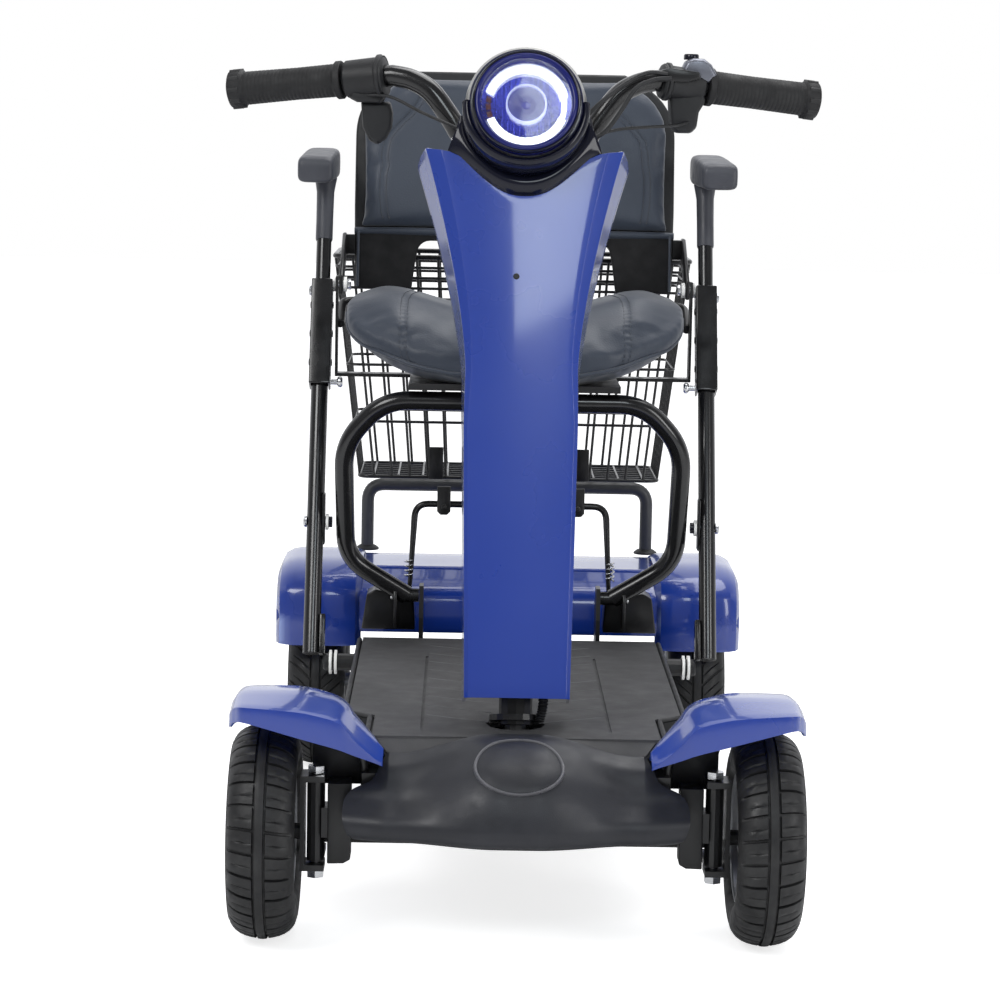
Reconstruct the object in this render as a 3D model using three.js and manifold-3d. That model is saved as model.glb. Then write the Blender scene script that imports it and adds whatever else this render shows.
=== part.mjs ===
// Folding four-wheel mobility scooter, in millimetres, +Z up, facing -Y, with +X on the rider's left.
// Every sub-part is one closed solid in its own named mesh. Inside the scooter group the front axle is
// at y = 0 and the ground at z = 0; the group is then moved so that the origin is midway along its length.
import * as THREE from "three";
import { mergeVertices } from "three/addons/utils/BufferGeometryUtils.js";
import Module from "manifold-3d";

const wasm = await Module();
wasm.setup();

// ---- driving dimensions --------------------------------------------------------------------------
const GAP = 0.4; // running clearance between neighbouring pieces
const ROUND = 24; // facets on a wheel
const TUBE_FACETS = 12;

const WHEELBASE = 770;
const TYRE_RADIUS = 107;
const RIM_RADIUS = 62;
const FRONT_TYRE = { inner: 215, outer: 281 };
const REAR_TYRE = { inner: 199, outer: 269 };

const DECK = { top: 202, front: 13, rear: 548, half: 178, noseHalf: 150, noseRear: 110, mat: 4, shell: 26 };
const RAIL = { x: 140, wide: 25, low: 130, high: 170, front: -15, rear: 700 };
const KINGPIN = { x: 198, barrel: 9, pin: 5, low: 78, high: 158 };
const STEERING_ARM = 65; // kingpin to track rod

const LEAN = THREE.MathUtils.degToRad(15); // tiller leans back from the vertical
const COLUMN_BASE = { y: 78, z: DECK.top };
const FOLD_HEIGHT = 64; // tiller fold hinge, along the column from its base
const FAIRING = { low: 23, swoop: 541, horn: 588, front: -56, rear: 24, skin: 3 };
const HEADLIGHT = { along: 624, front: -94, radius: 62, bezel: 53, lens: 43 };
const BAR = { radius: 11.1, grip: 17, flange: 20 };

const FOOT = { x: 122, y: 572, z: 249 }; // hinge of the U-frame on the chassis
const MID = { y: 552, z: 338 }; // pivot of each side arm on the U-frame
const TOP = { y: 666, z: 610 }; // hinge of the seat and backrest on the side arms
const ARM_X = 230;
const HOOK = { y: 490, z: 183 }; // cross tube that the side arms hook on
const U_TUBE = 11;
const ARM_TUBE = 10;
const SEAT = { low: 508, front: 468, rear: 716, half: 209 };
const BACK = { low: 600, arch: 663, high: 867, half: 198 };
const PAD = { low: 733, high: 771, front: 560, rear: 778, inner: 214, outer: 256 };
const BASKET = { floor: 355, rim: 639, front: 812, rear: 985, floorHalf: 192, rimHalf: 226, wire: 4 };
const FENDER_REAR = { inner: 181, outer: 279, front: 640, rear: 900, low: 171, top: 267 };

const LENGTH_FRONT = -TYRE_RADIUS;
const LENGTH_REAR = BASKET.rear;

// ---- materials -----------------------------------------------------------------------------------
const finish = (color, roughness, metalness) => new THREE.MeshStandardMaterial({ color, roughness, metalness });
const blue = finish(0x1b2ba8, 0.25, 0.3);
const blackPaint = finish(0x151517, 0.4, 0.3);
const blackPlastic = finish(0x1d1d1f, 0.6, 0);
const glossPlastic = finish(0x0c0c10, 0.2, 0);
const rubber = finish(0x141414, 0.85, 0);
const leather = finish(0x20242a, 0.55, 0);
const silver = finish(0x9ea2a8, 0.35, 0.7);
const lens = finish(0xe6ecf5, 0.1, 0);
const red = finish(0xb01818, 0.4, 0);

// ---- solids --------------------------------------------------------------------------------------
const V = (x, y, z) => new THREE.Vector3(x, y, z);

// A closed geometry as a solid that can be joined and cut, facing out.
function solid(geometry) {
  const plain = new THREE.BufferGeometry();
  plain.setAttribute("position", geometry.getAttribute("position").clone());
  if (geometry.index) plain.setIndex(geometry.index.clone());
  const merged = mergeVertices(plain, 1e-4);
  const vertProperties = new Float32Array(merged.attributes.position.array);
  const triVerts = new Uint32Array(merged.index.array);
  const made = new wasm.Manifold(new wasm.Mesh({ numProp: 3, vertProperties, triVerts }));
  if (made.volume() > 0) return made;
  for (let i = 0; i < triVerts.length; i += 3) triVerts.subarray(i, i + 3).reverse();
  return new wasm.Manifold(new wasm.Mesh({ numProp: 3, vertProperties, triVerts }));
}

const join = (...solids) => solids.reduce((sum, next) => sum.add(next));
const cut = (body, ...tools) => tools.reduce((left, tool) => left.subtract(tool), body);

// A box between two corners.
function box(x0, x1, y0, y1, z0, z1) {
  const shape = new THREE.BoxGeometry(x1 - x0, y1 - y0, z1 - z0);
  return solid(shape.translate((x0 + x1) / 2, (y0 + y1) / 2, (z0 + z1) / 2));
}

// A round bar from one point to another; two radii make a cone.
function rod(from, to, radius, endRadius = radius, facets = TUBE_FACETS) {
  const along = to.clone().sub(from);
  const bar = new THREE.CylinderGeometry(endRadius, radius, along.length(), facets);
  bar.applyQuaternion(new THREE.Quaternion().setFromUnitVectors(V(0, 1, 0), along.clone().normalize()));
  return solid(bar.translate(...from.clone().addScaledVector(along, 0.5).toArray()));
}

// The points of a bent tube's centre line: straight stretches with a rounded bend at each inner point.
function bentLine(points, bend, steps = 4) {
  const line = [points[0]];
  points.slice(1, -1).forEach((corner, i) => {
    const into = corner.clone().sub(points[i]).normalize();
    const out = points[i + 2].clone().sub(corner).normalize();
    const start = corner.clone().addScaledVector(into, -bend);
    const end = corner.clone().addScaledVector(out, bend);
    line.push(...new THREE.QuadraticBezierCurve3(start, corner, end).getPoints(steps));
  });
  return [...line, points.at(-1)];
}

// A bent tube: one ring of points at each point of its centre line, closed at both ends.
function bentTube(points, radius, bend, facets = TUBE_FACETS) {
  const line = bentLine(points, bend);
  const heading = (i) => line[Math.min(i + 1, line.length - 1)].clone().sub(line[Math.max(i - 1, 0)]).normalize();
  const turn = new THREE.Quaternion().setFromUnitVectors(V(0, 0, 1), heading(0));
  const rings = line.map((centre, i) => {
    if (i > 0) turn.premultiply(new THREE.Quaternion().setFromUnitVectors(heading(i - 1), heading(i)));
    return Array.from({ length: facets }, (_, k) => {
      const angle = (2 * Math.PI * k) / facets;
      return V(radius * Math.cos(angle), radius * Math.sin(angle), 0).applyQuaternion(turn).add(centre);
    });
  });
  const faces = [];
  for (let r = 0; r + 1 < rings.length; r++)
    for (let k = 0; k < facets; k++) {
      const [a, b] = [r * facets + k, r * facets + ((k + 1) % facets)];
      faces.push(a, b, b + facets, a, b + facets, a + facets);
    }
  const last = (rings.length - 1) * facets;
  for (let k = 1; k + 1 < facets; k++) faces.push(0, k + 1, k, last, last + k, last + k + 1);
  const shape = new THREE.BufferGeometry().setFromPoints(rings.flat());
  shape.setIndex(faces);
  return solid(shape);
}

// A flat outline of [a, b] points, extruded along an axis: x uses (y, z), y uses (x, z), z uses (x, y).
function prism(axis, outline, from, to) {
  const shape = new THREE.Shape(outline.map(([a, b]) => new THREE.Vector2(a, b)));
  const body = new THREE.ExtrudeGeometry(shape, { depth: to - from, bevelEnabled: false });
  const place = body.attributes.position;
  for (let i = 0; i < place.count; i++) {
    const [a, b, c] = [place.getX(i), place.getY(i), place.getZ(i) + from];
    if (axis === "x") place.setXYZ(i, c, a, b);
    else if (axis === "y") place.setXYZ(i, a, c, b);
    else place.setXYZ(i, a, b, c);
  }
  return solid(body);
}

// The space between two grids of points, front(u, v) and back(u, v), with u and v from 0 to 1.
function between(front, back, columns, rows) {
  const across = columns + 1;
  const grid = across * (rows + 1);
  const points = [];
  for (const side of [front, back])
    for (let r = 0; r <= rows; r++)
      for (let c = 0; c <= columns; c++) points.push(...side(c / columns, r / rows).toArray());
  const faces = [];
  const quad = (a, b, c, d) => faces.push(a, b, c, a, c, d);
  const at = (c, r, side) => side * grid + r * across + c;
  for (let r = 0; r < rows; r++)
    for (let c = 0; c < columns; c++) {
      quad(at(c, r, 0), at(c + 1, r, 0), at(c + 1, r + 1, 0), at(c, r + 1, 0));
      quad(at(c, r, 1), at(c, r + 1, 1), at(c + 1, r + 1, 1), at(c + 1, r, 1));
    }
  for (let c = 0; c < columns; c++) {
    quad(at(c, 0, 0), at(c, 0, 1), at(c + 1, 0, 1), at(c + 1, 0, 0));
    quad(at(c, rows, 0), at(c + 1, rows, 0), at(c + 1, rows, 1), at(c, rows, 1));
  }
  for (let r = 0; r < rows; r++) {
    quad(at(0, r, 0), at(0, r + 1, 0), at(0, r + 1, 1), at(0, r, 1));
    quad(at(columns, r, 0), at(columns, r, 1), at(columns, r + 1, 1), at(columns, r + 1, 0));
  }
  const shape = new THREE.BufferGeometry();
  shape.setAttribute("position", new THREE.Float32BufferAttribute(points, 3));
  shape.setIndex(faces);
  return solid(shape);
}

// A sheet of even thickness behind the surface(u, v), on the side that turns away from du x dv.
function sheet(surface, columns, rows, thickness) {
  const step = 1e-3;
  const inner = (u, v) => {
    const [u0, u1] = [Math.max(u - step, 0), Math.min(u + step, 1)];
    const [v0, v1] = [Math.max(v - step, 0), Math.min(v + step, 1)];
    const du = surface(u1, v).sub(surface(u0, v));
    const dv = surface(u, v1).sub(surface(u, v0));
    return surface(u, v).addScaledVector(du.cross(dv).normalize(), -thickness);
  };
  return between(surface, inner, columns, rows);
}

// A profile of [radius, height] turned about the X axis at (y, z), with flats facing straight down.
function turned(profile, y, z, facets = ROUND) {
  const points = profile.map(([radius, along]) => new THREE.Vector2(radius, along));
  const body = new THREE.LatheGeometry(points, facets);
  body.rotateY(Math.PI / facets);
  return solid(body.rotateZ(-Math.PI / 2).translate(0, y, z));
}

const mirrored = (body) => body.mirror([1, 0, 0]);
const smooth = (t) => t * t * (3 - 2 * t);
const clamp01 = (t) => Math.min(Math.max(t, 0), 1);

// ---- scene graph ---------------------------------------------------------------------------------
const scooter = new THREE.Group();
scooter.position.y = -(LENGTH_FRONT + LENGTH_REAR) / 2;

function add(name, body, material, parent = scooter) {
  const made = body.getMesh();
  const shape = new THREE.BufferGeometry();
  shape.setAttribute("position", new THREE.BufferAttribute(new Float32Array(made.vertProperties), 3));
  shape.setIndex(new THREE.BufferAttribute(new Uint32Array(made.triVerts), 1));
  const mesh = new THREE.Mesh(shape, material);
  mesh.name = name;
  parent.add(mesh);
}

// Adds a piece for the rider's left (+X) and its mirror image for the right.
function addPair(name, body, material, parent = scooter) {
  add(name + "_left", body, material, parent);
  add(name + "_right", mirrored(body), material, parent);
}

// A group whose +Z runs along a line that leans by an angle towards +Y.
function leaning(y, z, lean, parent = scooter) {
  const group = new THREE.Group();
  group.position.set(0, y, z);
  group.rotation.x = -lean;
  parent.add(group);
  return group;
}

// ---- chassis -------------------------------------------------------------------------------------
const HEAD_TUBE = { low: -62, high: -6, outer: 19, bore: 13, shaft: 12 };
const columnPoint = (along, back = 0) =>
  V(
    0,
    COLUMN_BASE.y + along * Math.sin(LEAN) + back * Math.cos(LEAN),
    COLUMN_BASE.z + along * Math.cos(LEAN) - back * Math.sin(LEAN),
  );

function mainFrame() {
  const halfRail = RAIL.wide / 2;
  const rail = box(RAIL.x - halfRail, RAIL.x + halfRail, RAIL.front, RAIL.rear, RAIL.low, RAIL.high);
  const beam = box(-192, 192, -14, 14, 104, 134);
  const barrel = rod(V(KINGPIN.x, 0, KINGPIN.low), V(KINGPIN.x, 0, KINGPIN.high), KINGPIN.barrel);
  const bore = rod(V(KINGPIN.x, 0, 0), V(KINGPIN.x, 0, DECK.top), KINGPIN.pin + GAP);
  const headPlate = box(-RAIL.x, RAIL.x, 40, 96, 152, 166);
  const headTube = rod(columnPoint(HEAD_TUBE.low), columnPoint(HEAD_TUBE.high), HEAD_TUBE.outer);
  const headBore = rod(columnPoint(-100), columnPoint(20), HEAD_TUBE.bore);
  const hookTube = rod(V(-212, HOOK.y, HOOK.z), V(212, HOOK.y, HOOK.z), ARM_TUBE);
  const hookPost = box(134, 152, HOOK.y - 9, HOOK.y + 9, 165, HOOK.z);
  const rearCross = box(-RAIL.x, RAIL.x, 660, RAIL.rear, RAIL.low, RAIL.high);
  const bracketBase = box(-RAIL.x, RAIL.x, 554, 600, 160, RAIL.high);
  const bracket = prism("x", [[554, 165], [600, 165], [600, 240], [584, 262], [560, 262], [554, 225]], 102, 107);
  const axleSaddle = prism("x", [[640, 150], [800, 128.5], [800, 150], [700, 170], [640, 170]], 124, 134);
  const halves = [rail, barrel, hookPost, bracket, axleSaddle];
  const sides = halves.flatMap((body) => [body, mirrored(body)]);
  return cut(join(beam, headPlate, headTube, hookTube, bracketBase, rearCross, ...sides), bore, mirrored(bore), headBore);
}

const deckOutline = (grow) => [
  [-DECK.noseHalf - grow, DECK.front],
  [DECK.noseHalf + grow, DECK.front],
  [DECK.noseHalf + grow, DECK.noseRear],
  [DECK.half + grow, DECK.noseRear + 22],
  [DECK.half + grow, DECK.rear],
  [-DECK.half - grow, DECK.rear],
  [-DECK.half - grow, DECK.noseRear + 22],
  [-DECK.noseHalf - grow, DECK.noseRear],
];

function deckShell() {
  const top = DECK.top - DECK.mat - GAP;
  const outer = prism("z", deckOutline(0), top - DECK.shell, top);
  const hollow = prism("z", deckOutline(-4), top - DECK.shell - 1, top - 4);
  const columnHole = rod(columnPoint(-60), columnPoint(40), 30);
  const hookHole = rod(V(-200, HOOK.y, HOOK.z), V(200, HOOK.y, HOOK.z), ARM_TUBE + GAP);
  return cut(outer, hollow, columnHole, hookHole);
}

function deckMat() {
  const mat = prism("z", deckOutline(-6), DECK.top - DECK.mat, DECK.top);
  const columnHole = rod(columnPoint(-60), columnPoint(40), 30);
  const grooves = [-95, 95].map((x) => box(x - 1.5, x + 1.5, 45, 435, DECK.top - 1.5, DECK.top + 1));
  return cut(mat, columnHole, ...grooves);
}

const COWL = { halfLow: 166, halfTop: 124, low: 112, top: 199, front: -90, rear: 11 };

// The bumper: across from one side to the other, up from its lower edge to the front of the deck.
function cowlSurface(u, v) {
  const side = 2 * u - 1;
  const rise = Math.sin((v * Math.PI) / 2);
  const half = THREE.MathUtils.lerp(COWL.halfLow, COWL.halfTop, smooth(clamp01(v * 1.25)));
  const slope = v < 0.35 ? 0 : (v - 0.35) / 0.65;
  const y = COWL.front + (COWL.rear - COWL.front) * slope ** 1.5 + 26 * side ** 2 * (1 - v);
  return V(half * side, y, COWL.low + (COWL.top - COWL.low) * rise);
}

const frontCowl = () => sheet((u, v) => cowlSurface(u, v), 16, 9, 4);

// The front fender over the +X wheel: u runs from its inner tip to its outer end, v from front to rear.
const FENDER_FRONT = { tip: 130, outer: 281, front: -76, rear: 84, tipZ: 190, topZ: 246, outerZ: 233, band: 20 };
function frontFenderSurface(u, v) {
  const f = FENDER_FRONT;
  const x = THREE.MathUtils.lerp(f.tip, f.outer, u);
  const ridge = u < 0.64 ? f.tipZ + (f.topZ - f.tipZ) * Math.sin((u / 0.64) * (Math.PI / 2))
    : f.topZ - (f.topZ - f.outerZ) * ((u - 0.64) / 0.36) ** 2;
  const reach = THREE.MathUtils.lerp(0.2, 1, smooth(clamp01(u / 0.5)));
  const middle = -34 * (1 - reach);
  const end = 2 * v - 1;
  const y = middle + reach * (end < 0 ? -f.front * end : f.rear * end);
  const drop = f.band * clamp01((-end - 0.8) / 0.2) + 12 * end ** 2 + 24 * clamp01(end) ** 3;
  return V(x, y, ridge - drop * reach);
}

const frontFender = () => sheet(frontFenderSurface, 10, 12, 3);

function rearShell() {
  const f = FENDER_REAR;
  const arch = [[f.front, f.low], [664, 228], [690, 256], [725, f.top], [815, f.top], [858, 250], [f.rear, 178]];
  const hollow = [[f.front - 9, f.low - 9], [f.front + 9, f.low], [678, 226], [697, 250], [727, f.top - 5]];
  hollow.push([813, f.top - 5], [853, 245], [f.rear - 9, 178], [f.rear + 9, f.low - 9]);
  const wheelCover = cut(prism("x", arch, f.inner, f.outer), prism("x", hollow, f.inner - 9, f.outer - 4));
  const middle = [[648, 207], [672, 245], [690, 254], [850, 254], [884, 230], [884, 186], [648, 186]];
  const under = [[640, 180], [652, 206], [675, 241], [692, 250], [848, 250], [880, 228], [880, 180]];
  const centre = cut(prism("x", middle, -f.inner - 4, f.inner + 4), prism("x", under, -f.inner, f.inner));
  return join(wheelCover, mirrored(wheelCover), centre);
}

function transaxle() {
  const axle = V(0, WHEELBASE, TYRE_RADIUS);
  const on = (x) => V(x, axle.y, axle.z);
  const motor = rod(on(-105), on(40), 46, 46, ROUND);
  const gearCase = rod(on(40), on(105), 55, 48, ROUND);
  const housing = rod(on(-180), on(180), 20, 20);
  const shaft = rod(on(-262), on(262), 9);
  return join(motor, gearCase, housing, shaft);
}

function basketPosts() {
  const z = BASKET.floor - BASKET.wire;
  const post = bentTube([V(180, 893, 256), V(180, 893, z - 12), V(-180, 893, z - 12), V(-180, 893, 256)], 8, 22);
  return post;
}

add("main_frame", mainFrame(), blackPaint);
add("belly_pan", box(-RAIL.x - 12, RAIL.x + 12, 130, 640, 112, 128), blackPlastic);
add("battery_pack", box(-115, 115, 190, 470, 130, 168), blackPlastic);
add("controller", box(-62, 62, 480, 545, 130, 164), silver);
add("deck_shell", deckShell(), blackPlastic);
add("deck_mat", deckMat(), rubber);
add("front_cowl", frontCowl(), blackPlastic);
addPair("front_fender", frontFender(), blue);
add("rear_shell", rearShell(), blue);
add("transaxle", transaxle(), silver);
add("basket_posts", basketPosts(), blackPaint);

// ---- steering gear and wheels --------------------------------------------------------------------
function kingpin() {
  const shank = rod(V(KINGPIN.x, 0, 64), V(KINGPIN.x, 0, 172), KINGPIN.pin);
  const head = rod(V(KINGPIN.x, 0, 167), V(KINGPIN.x, 0, 174), 9, 9, 6);
  const nut = rod(V(KINGPIN.x, 0, 61), V(KINGPIN.x, 0, 69), 9, 9, 6);
  return join(shank, head, nut);
}

function knuckle() {
  const upper = box(189, 213, -16, 16, 160, 166);
  const lower = box(189, 213, -16, 16, 70, 76);
  const cheek = box(208.5, 213, -16, 16, 70, 166);
  const stub = rod(V(210, 0, TYRE_RADIUS), V(274, 0, TYRE_RADIUS), 8);
  const arm = box(191, 205, 10, STEERING_ARM + 9, 70, 76);
  const bore = rod(V(KINGPIN.x, 0, 60), V(KINGPIN.x, 0, 180), KINGPIN.pin + GAP);
  return cut(join(upper, lower, cheek, stub, arm), bore);
}

// A tyre from its inner to its outer side: flat shoulders and a crowned tread with a flat centre.
function tyre({ inner, outer }, y) {
  const facetRadius = TYRE_RADIUS / Math.cos(Math.PI / ROUND);
  const wide = outer - inner;
  const profile = [
    [RIM_RADIUS + 2, inner + 9],
    [facetRadius - 24, inner],
    [facetRadius - 9, inner + wide * 0.08],
    [facetRadius, inner + wide * 0.28],
    [facetRadius, outer - wide * 0.28],
    [facetRadius - 9, outer - wide * 0.08],
    [facetRadius - 24, outer],
    [RIM_RADIUS + 2, outer - 9],
  ];
  return turned([...profile, profile[0]], y, TYRE_RADIUS);
}

function rim({ inner, outer }, y, bore) {
  const profile = [
    [bore, inner + 4],
    [bore + 14, inner + 4],
    [bore + 16, inner + 26],
    [RIM_RADIUS - 8, inner + 30],
    [RIM_RADIUS - 8, inner + 12],
    [RIM_RADIUS + 1.5, inner + 9],
    [RIM_RADIUS + 1.5, outer - 9],
    [RIM_RADIUS - 8, outer - 12],
    [RIM_RADIUS - 8, outer - 26],
    [bore + 14, outer - 24],
    [bore + 12, outer - 8],
    [bore, outer - 8],
  ];
  return turned([...profile, profile[0]], y, TYRE_RADIUS);
}

const PITMAN = { z: 98, tip: 101 };

function trackRod() {
  const bar = rod(V(-204, STEERING_ARM, 84), V(204, STEERING_ARM, 84), 5);
  const lug = box(-10, 10, STEERING_ARM, PITMAN.tip + 8, 79, 85);
  return join(bar, lug);
}

function steeringStem() {
  const shaft = rod(columnPoint(-100), columnPoint(0), HEAD_TUBE.shaft);
  const neck = rod(columnPoint(-1), columnPoint(38), 17);
  const flange = rod(columnPoint(3), columnPoint(9), 27, 27, ROUND);
  const pitman = box(-9, 9, 44, PITMAN.tip, PITMAN.z, PITMAN.z + 8);
  return join(shaft, neck, flange, pitman);
}

// The clevis that carries the fold hinge, in the column's own frame.
function clevis() {
  const cheek = box(20, 26, -17, 17, 30, FOLD_HEIGHT + 15);
  const bridge = box(-26, 26, -17, 17, 28, 38);
  return join(cheek, mirrored(cheek), bridge);
}

addPair("kingpin", kingpin(), silver);
addPair("knuckle", knuckle(), blackPaint);
addPair("front_tyre", tyre(FRONT_TYRE, 0), rubber);
addPair("front_rim", rim(FRONT_TYRE, 0, 8 + GAP), silver);
addPair("rear_tyre", tyre(REAR_TYRE, WHEELBASE), rubber);
addPair("rear_rim", rim(REAR_TYRE, WHEELBASE, 9 + GAP), silver);
add("track_rod", trackRod(), blackPaint);

const leanDegrees = THREE.MathUtils.radToDeg(LEAN);
const turnedClevis = clevis().rotate([-leanDegrees, 0, 0]).translate([0, COLUMN_BASE.y, COLUMN_BASE.z]);
add("steering_stem", join(steeringStem(), turnedClevis), blackPaint);

// ---- tiller --------------------------------------------------------------------------------------
const tiller = leaning(COLUMN_BASE.y, COLUMN_BASE.z, LEAN);

function tillerColumn() {
  const tube = rod(V(0, 0, FOLD_HEIGHT + 12), V(0, 0, 572), 16, 16);
  const lug = box(-19, 19, -15, 15, FOLD_HEIGHT - 15, FOLD_HEIGHT + 30);
  return join(tube, lug);
}

// Half-width of the fairing at a height along the column.
function fairingHalf(along) {
  const flare = clamp01((along - 355) / (FAIRING.horn - 355));
  const taper = clamp01((along - FAIRING.low) / (355 - FAIRING.low));
  return 55 + 6 * taper + 50 * flare ** 1.4;
}

// The front skin of the tiller: u from side to side, v from the foot to the swooping top edge.
function fairingSurface(u, v) {
  const side = 2 * u - 1;
  const reach = Math.abs(side);
  const edge = Math.min(reach / 0.7, 1);
  const top = THREE.MathUtils.lerp(FAIRING.swoop, FAIRING.horn, edge ** 1.5);
  const along = THREE.MathUtils.lerp(FAIRING.low, top, v);
  const half = fairingHalf(along);
  const chamfer = 7 + 26 * clamp01((along - 200) / 380);
  const crease = half - chamfer;
  const face = clamp01(reach / 0.5);
  const bevel = clamp01((reach - 0.5) / 0.2);
  const wall = clamp01((reach - 0.7) / 0.3);
  const x = Math.sign(side) * (crease * face + chamfer * bevel - 3 * wall);
  const depth = 5 * face ** 2 + 0.7 * chamfer * bevel;
  return V(x, THREE.MathUtils.lerp(FAIRING.front + depth, FAIRING.rear, wall), along);
}

const tillerFairing = () => sheet(fairingSurface, 20, 18, FAIRING.skin);

function backCover() {
  const rows = 8;
  const front = (u, v) => {
    const along = THREE.MathUtils.lerp(FAIRING.low + 75, FAIRING.swoop - 6, v);
    const half = fairingHalf(along) - FAIRING.skin - 6;
    return V(half * (2 * u - 1), FAIRING.rear - 4, along);
  };
  return between(front, (u, v) => front(u, v).add(V(0, 4, 0)), 1, rows);
}

function dashShell() {
  const outline = [[-78, 748], [78, 748], [88, 782], [80, 798], [-80, 798], [-88, 782]];
  const body = prism("y", outline, 192, 206);
  const { along, radius } = HEADLIGHT;
  const lampRoom = rod(columnPoint(along, -150), columnPoint(along, 50), radius + 1, undefined, ROUND);
  return cut(body, lampRoom);
}

// The lamp, square to the column: bezel ring and lens in front of a domed housing.
const lampAt = (depth) => V(0, HEADLIGHT.front + depth, HEADLIGHT.along);
function lampHousing() {
  const barrel = rod(lampAt(16), lampAt(46), HEADLIGHT.radius - 2, HEADLIGHT.radius, ROUND);
  const dome = rod(lampAt(46), lampAt(74), HEADLIGHT.radius, 30, ROUND);
  return join(barrel, dome);
}

function lampBezel() {
  const outer = rod(lampAt(-6), lampAt(15.6), HEADLIGHT.bezel - 2, HEADLIGHT.bezel + 2, ROUND);
  return cut(outer, rod(lampAt(-50), lampAt(50), HEADLIGHT.lens, undefined, ROUND));
}

const lampLens = () => rod(lampAt(1), lampAt(15), HEADLIGHT.lens - 3, HEADLIGHT.lens - GAP, ROUND);

// Handlebar, rider's left half; the right is its mirror image.
const BAR_POINTS = [V(0, 237, 776), V(56, 238, 778), V(94, 247, 838), V(134, 256, 855), V(304, 299, 837.5)];
function handlebar() {
  const reversed = BAR_POINTS.slice(1).reverse().map((p) => V(-p.x, p.y, p.z));
  return bentTube([...reversed, ...BAR_POINTS], BAR.radius, 17);
}

const gripLine = BAR_POINTS[4].clone().sub(BAR_POINTS[3]).normalize();
const onBar = (distance) => BAR_POINTS[3].clone().addScaledVector(gripLine, distance);
const onGrip = (distance) => onBar(59 + distance);
function grip() {
  const sleeve = rod(onGrip(2), onGrip(121), BAR.grip);
  const flange = rod(onGrip(0), onGrip(7), BAR.flange);
  const endRing = rod(onGrip(111), onGrip(116), BAR.grip + 2);
  const bore = rod(onGrip(-9), onGrip(119), BAR.radius + GAP + 0.3);
  return cut(join(sleeve, flange, endRing), bore);
}

// A clamp round the bar, from one distance to another along the grip's line, inboard of the grip.
function clampRing(from, to, radius) {
  const bore = rod(onBar(from - 9), onBar(to + 9), BAR.radius + 2);
  return cut(rod(onBar(from), onBar(to), radius), bore);
}

const throttleHousing = () => mirrored(clampRing(24, 46, 21));
const THROTTLE = { x: -166, y: 268, z: 855 };
function throttleLever() {
  const { x, y, z } = THROTTLE;
  const paddle = prism("x", [[y - 8, z - 27], [y + 12, z - 27], [y + 20, z - 70], [y + 6, z - 76]], x - 2, x + 22);
  return paddle;
}

const SWITCH = { x: 168, y: 270, z: 856 };
function switchHousing() {
  const { x, y, z } = SWITCH;
  const pod = box(x - 16, x + 16, y - 14, y + 16, z - 56, z - 18);
  const cap = box(x - 6, x + 20, y - 13, y + 13, z + 9.5, z + 20);
  const hornPocket = rod(V(x, y + 12.4, z - 35), V(x, y + 30, z - 35), 7.6);
  const lightPocket = rod(V(x + 7, y, z + 16.4), V(x + 7, y, z + 30), 8.6);
  return cut(join(clampRing(20, 46, 18), pod, cap), hornPocket, lightPocket);
}

add("tiller_column", tillerColumn(), blackPaint, tiller);
add("tiller_fairing", tillerFairing(), blue, tiller);
add("tiller_back_cover", backCover(), blackPlastic, tiller);
add("dash_shell", dashShell(), glossPlastic);
add("headlight_housing", lampHousing(), silver, tiller);
add("headlight_bezel", lampBezel(), blue, tiller);
add("headlight_lens", lampLens(), lens, tiller);
add("handlebar", handlebar(), blackPaint);
addPair("grip", grip(), rubber);
add("throttle_housing", throttleHousing(), blackPlastic);
add("throttle_lever", throttleLever(), blackPlastic);
add("switch_housing", switchHousing(), blackPlastic);
const { x: switchX, y: switchY, z: switchZ } = SWITCH;
add("horn_button", rod(V(switchX, switchY + 16.5, switchZ - 35), V(switchX, switchY + 22, switchZ - 35), 7), red);
add("light_button", rod(V(switchX + 7, switchY, switchZ + 20.4), V(switchX + 7, switchY, switchZ + 27), 8), silver);

const KEY = { x: -34, along: 470 };
const key = join(
  rod(V(KEY.x, FAIRING.rear + 0.5, KEY.along), V(KEY.x, FAIRING.rear + 6, KEY.along), 9),
  box(KEY.x - 1.5, KEY.x + 1.5, FAIRING.rear + 5, FAIRING.rear + 26, KEY.along - 9, KEY.along + 9),
);
add("key_switch", key, silver, tiller);

const foldLever = join(
  rod(V(28, 0, FOLD_HEIGHT), V(34, 0, FOLD_HEIGHT), 9),
  box(28.5, 33.5, 0, 62, FOLD_HEIGHT - 6, FOLD_HEIGHT + 6),
);
add("fold_lever", foldLever, silver, tiller);

// ---- folding seat frame --------------------------------------------------------------------------
const uLean = Math.atan2(MID.y - FOOT.y, MID.z - FOOT.z); // negative: the U-frame leans forward
const armLean = Math.atan2(TOP.y - MID.y, TOP.z - MID.z);
const U_TOP = (486 - FOOT.z) / Math.cos(uLean);
const uFrameGroup = leaning(FOOT.y, FOOT.z, uLean);
const armGroup = leaning(MID.y, MID.z, armLean);

function uFrame() {
  const side = [V(FOOT.x, 0, 0), V(194, 0, 46), V(197, 0, 190), V(150, 0, U_TOP)];
  const whole = [...side, ...side.reverse().map((p) => V(-p.x, p.y, p.z))];
  const pivot = rod(V(107.5, 0, 0), V(126, 0, 0), 8);
  return join(bentTube(whole, U_TUBE, 24), pivot, mirrored(pivot));
}

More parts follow.
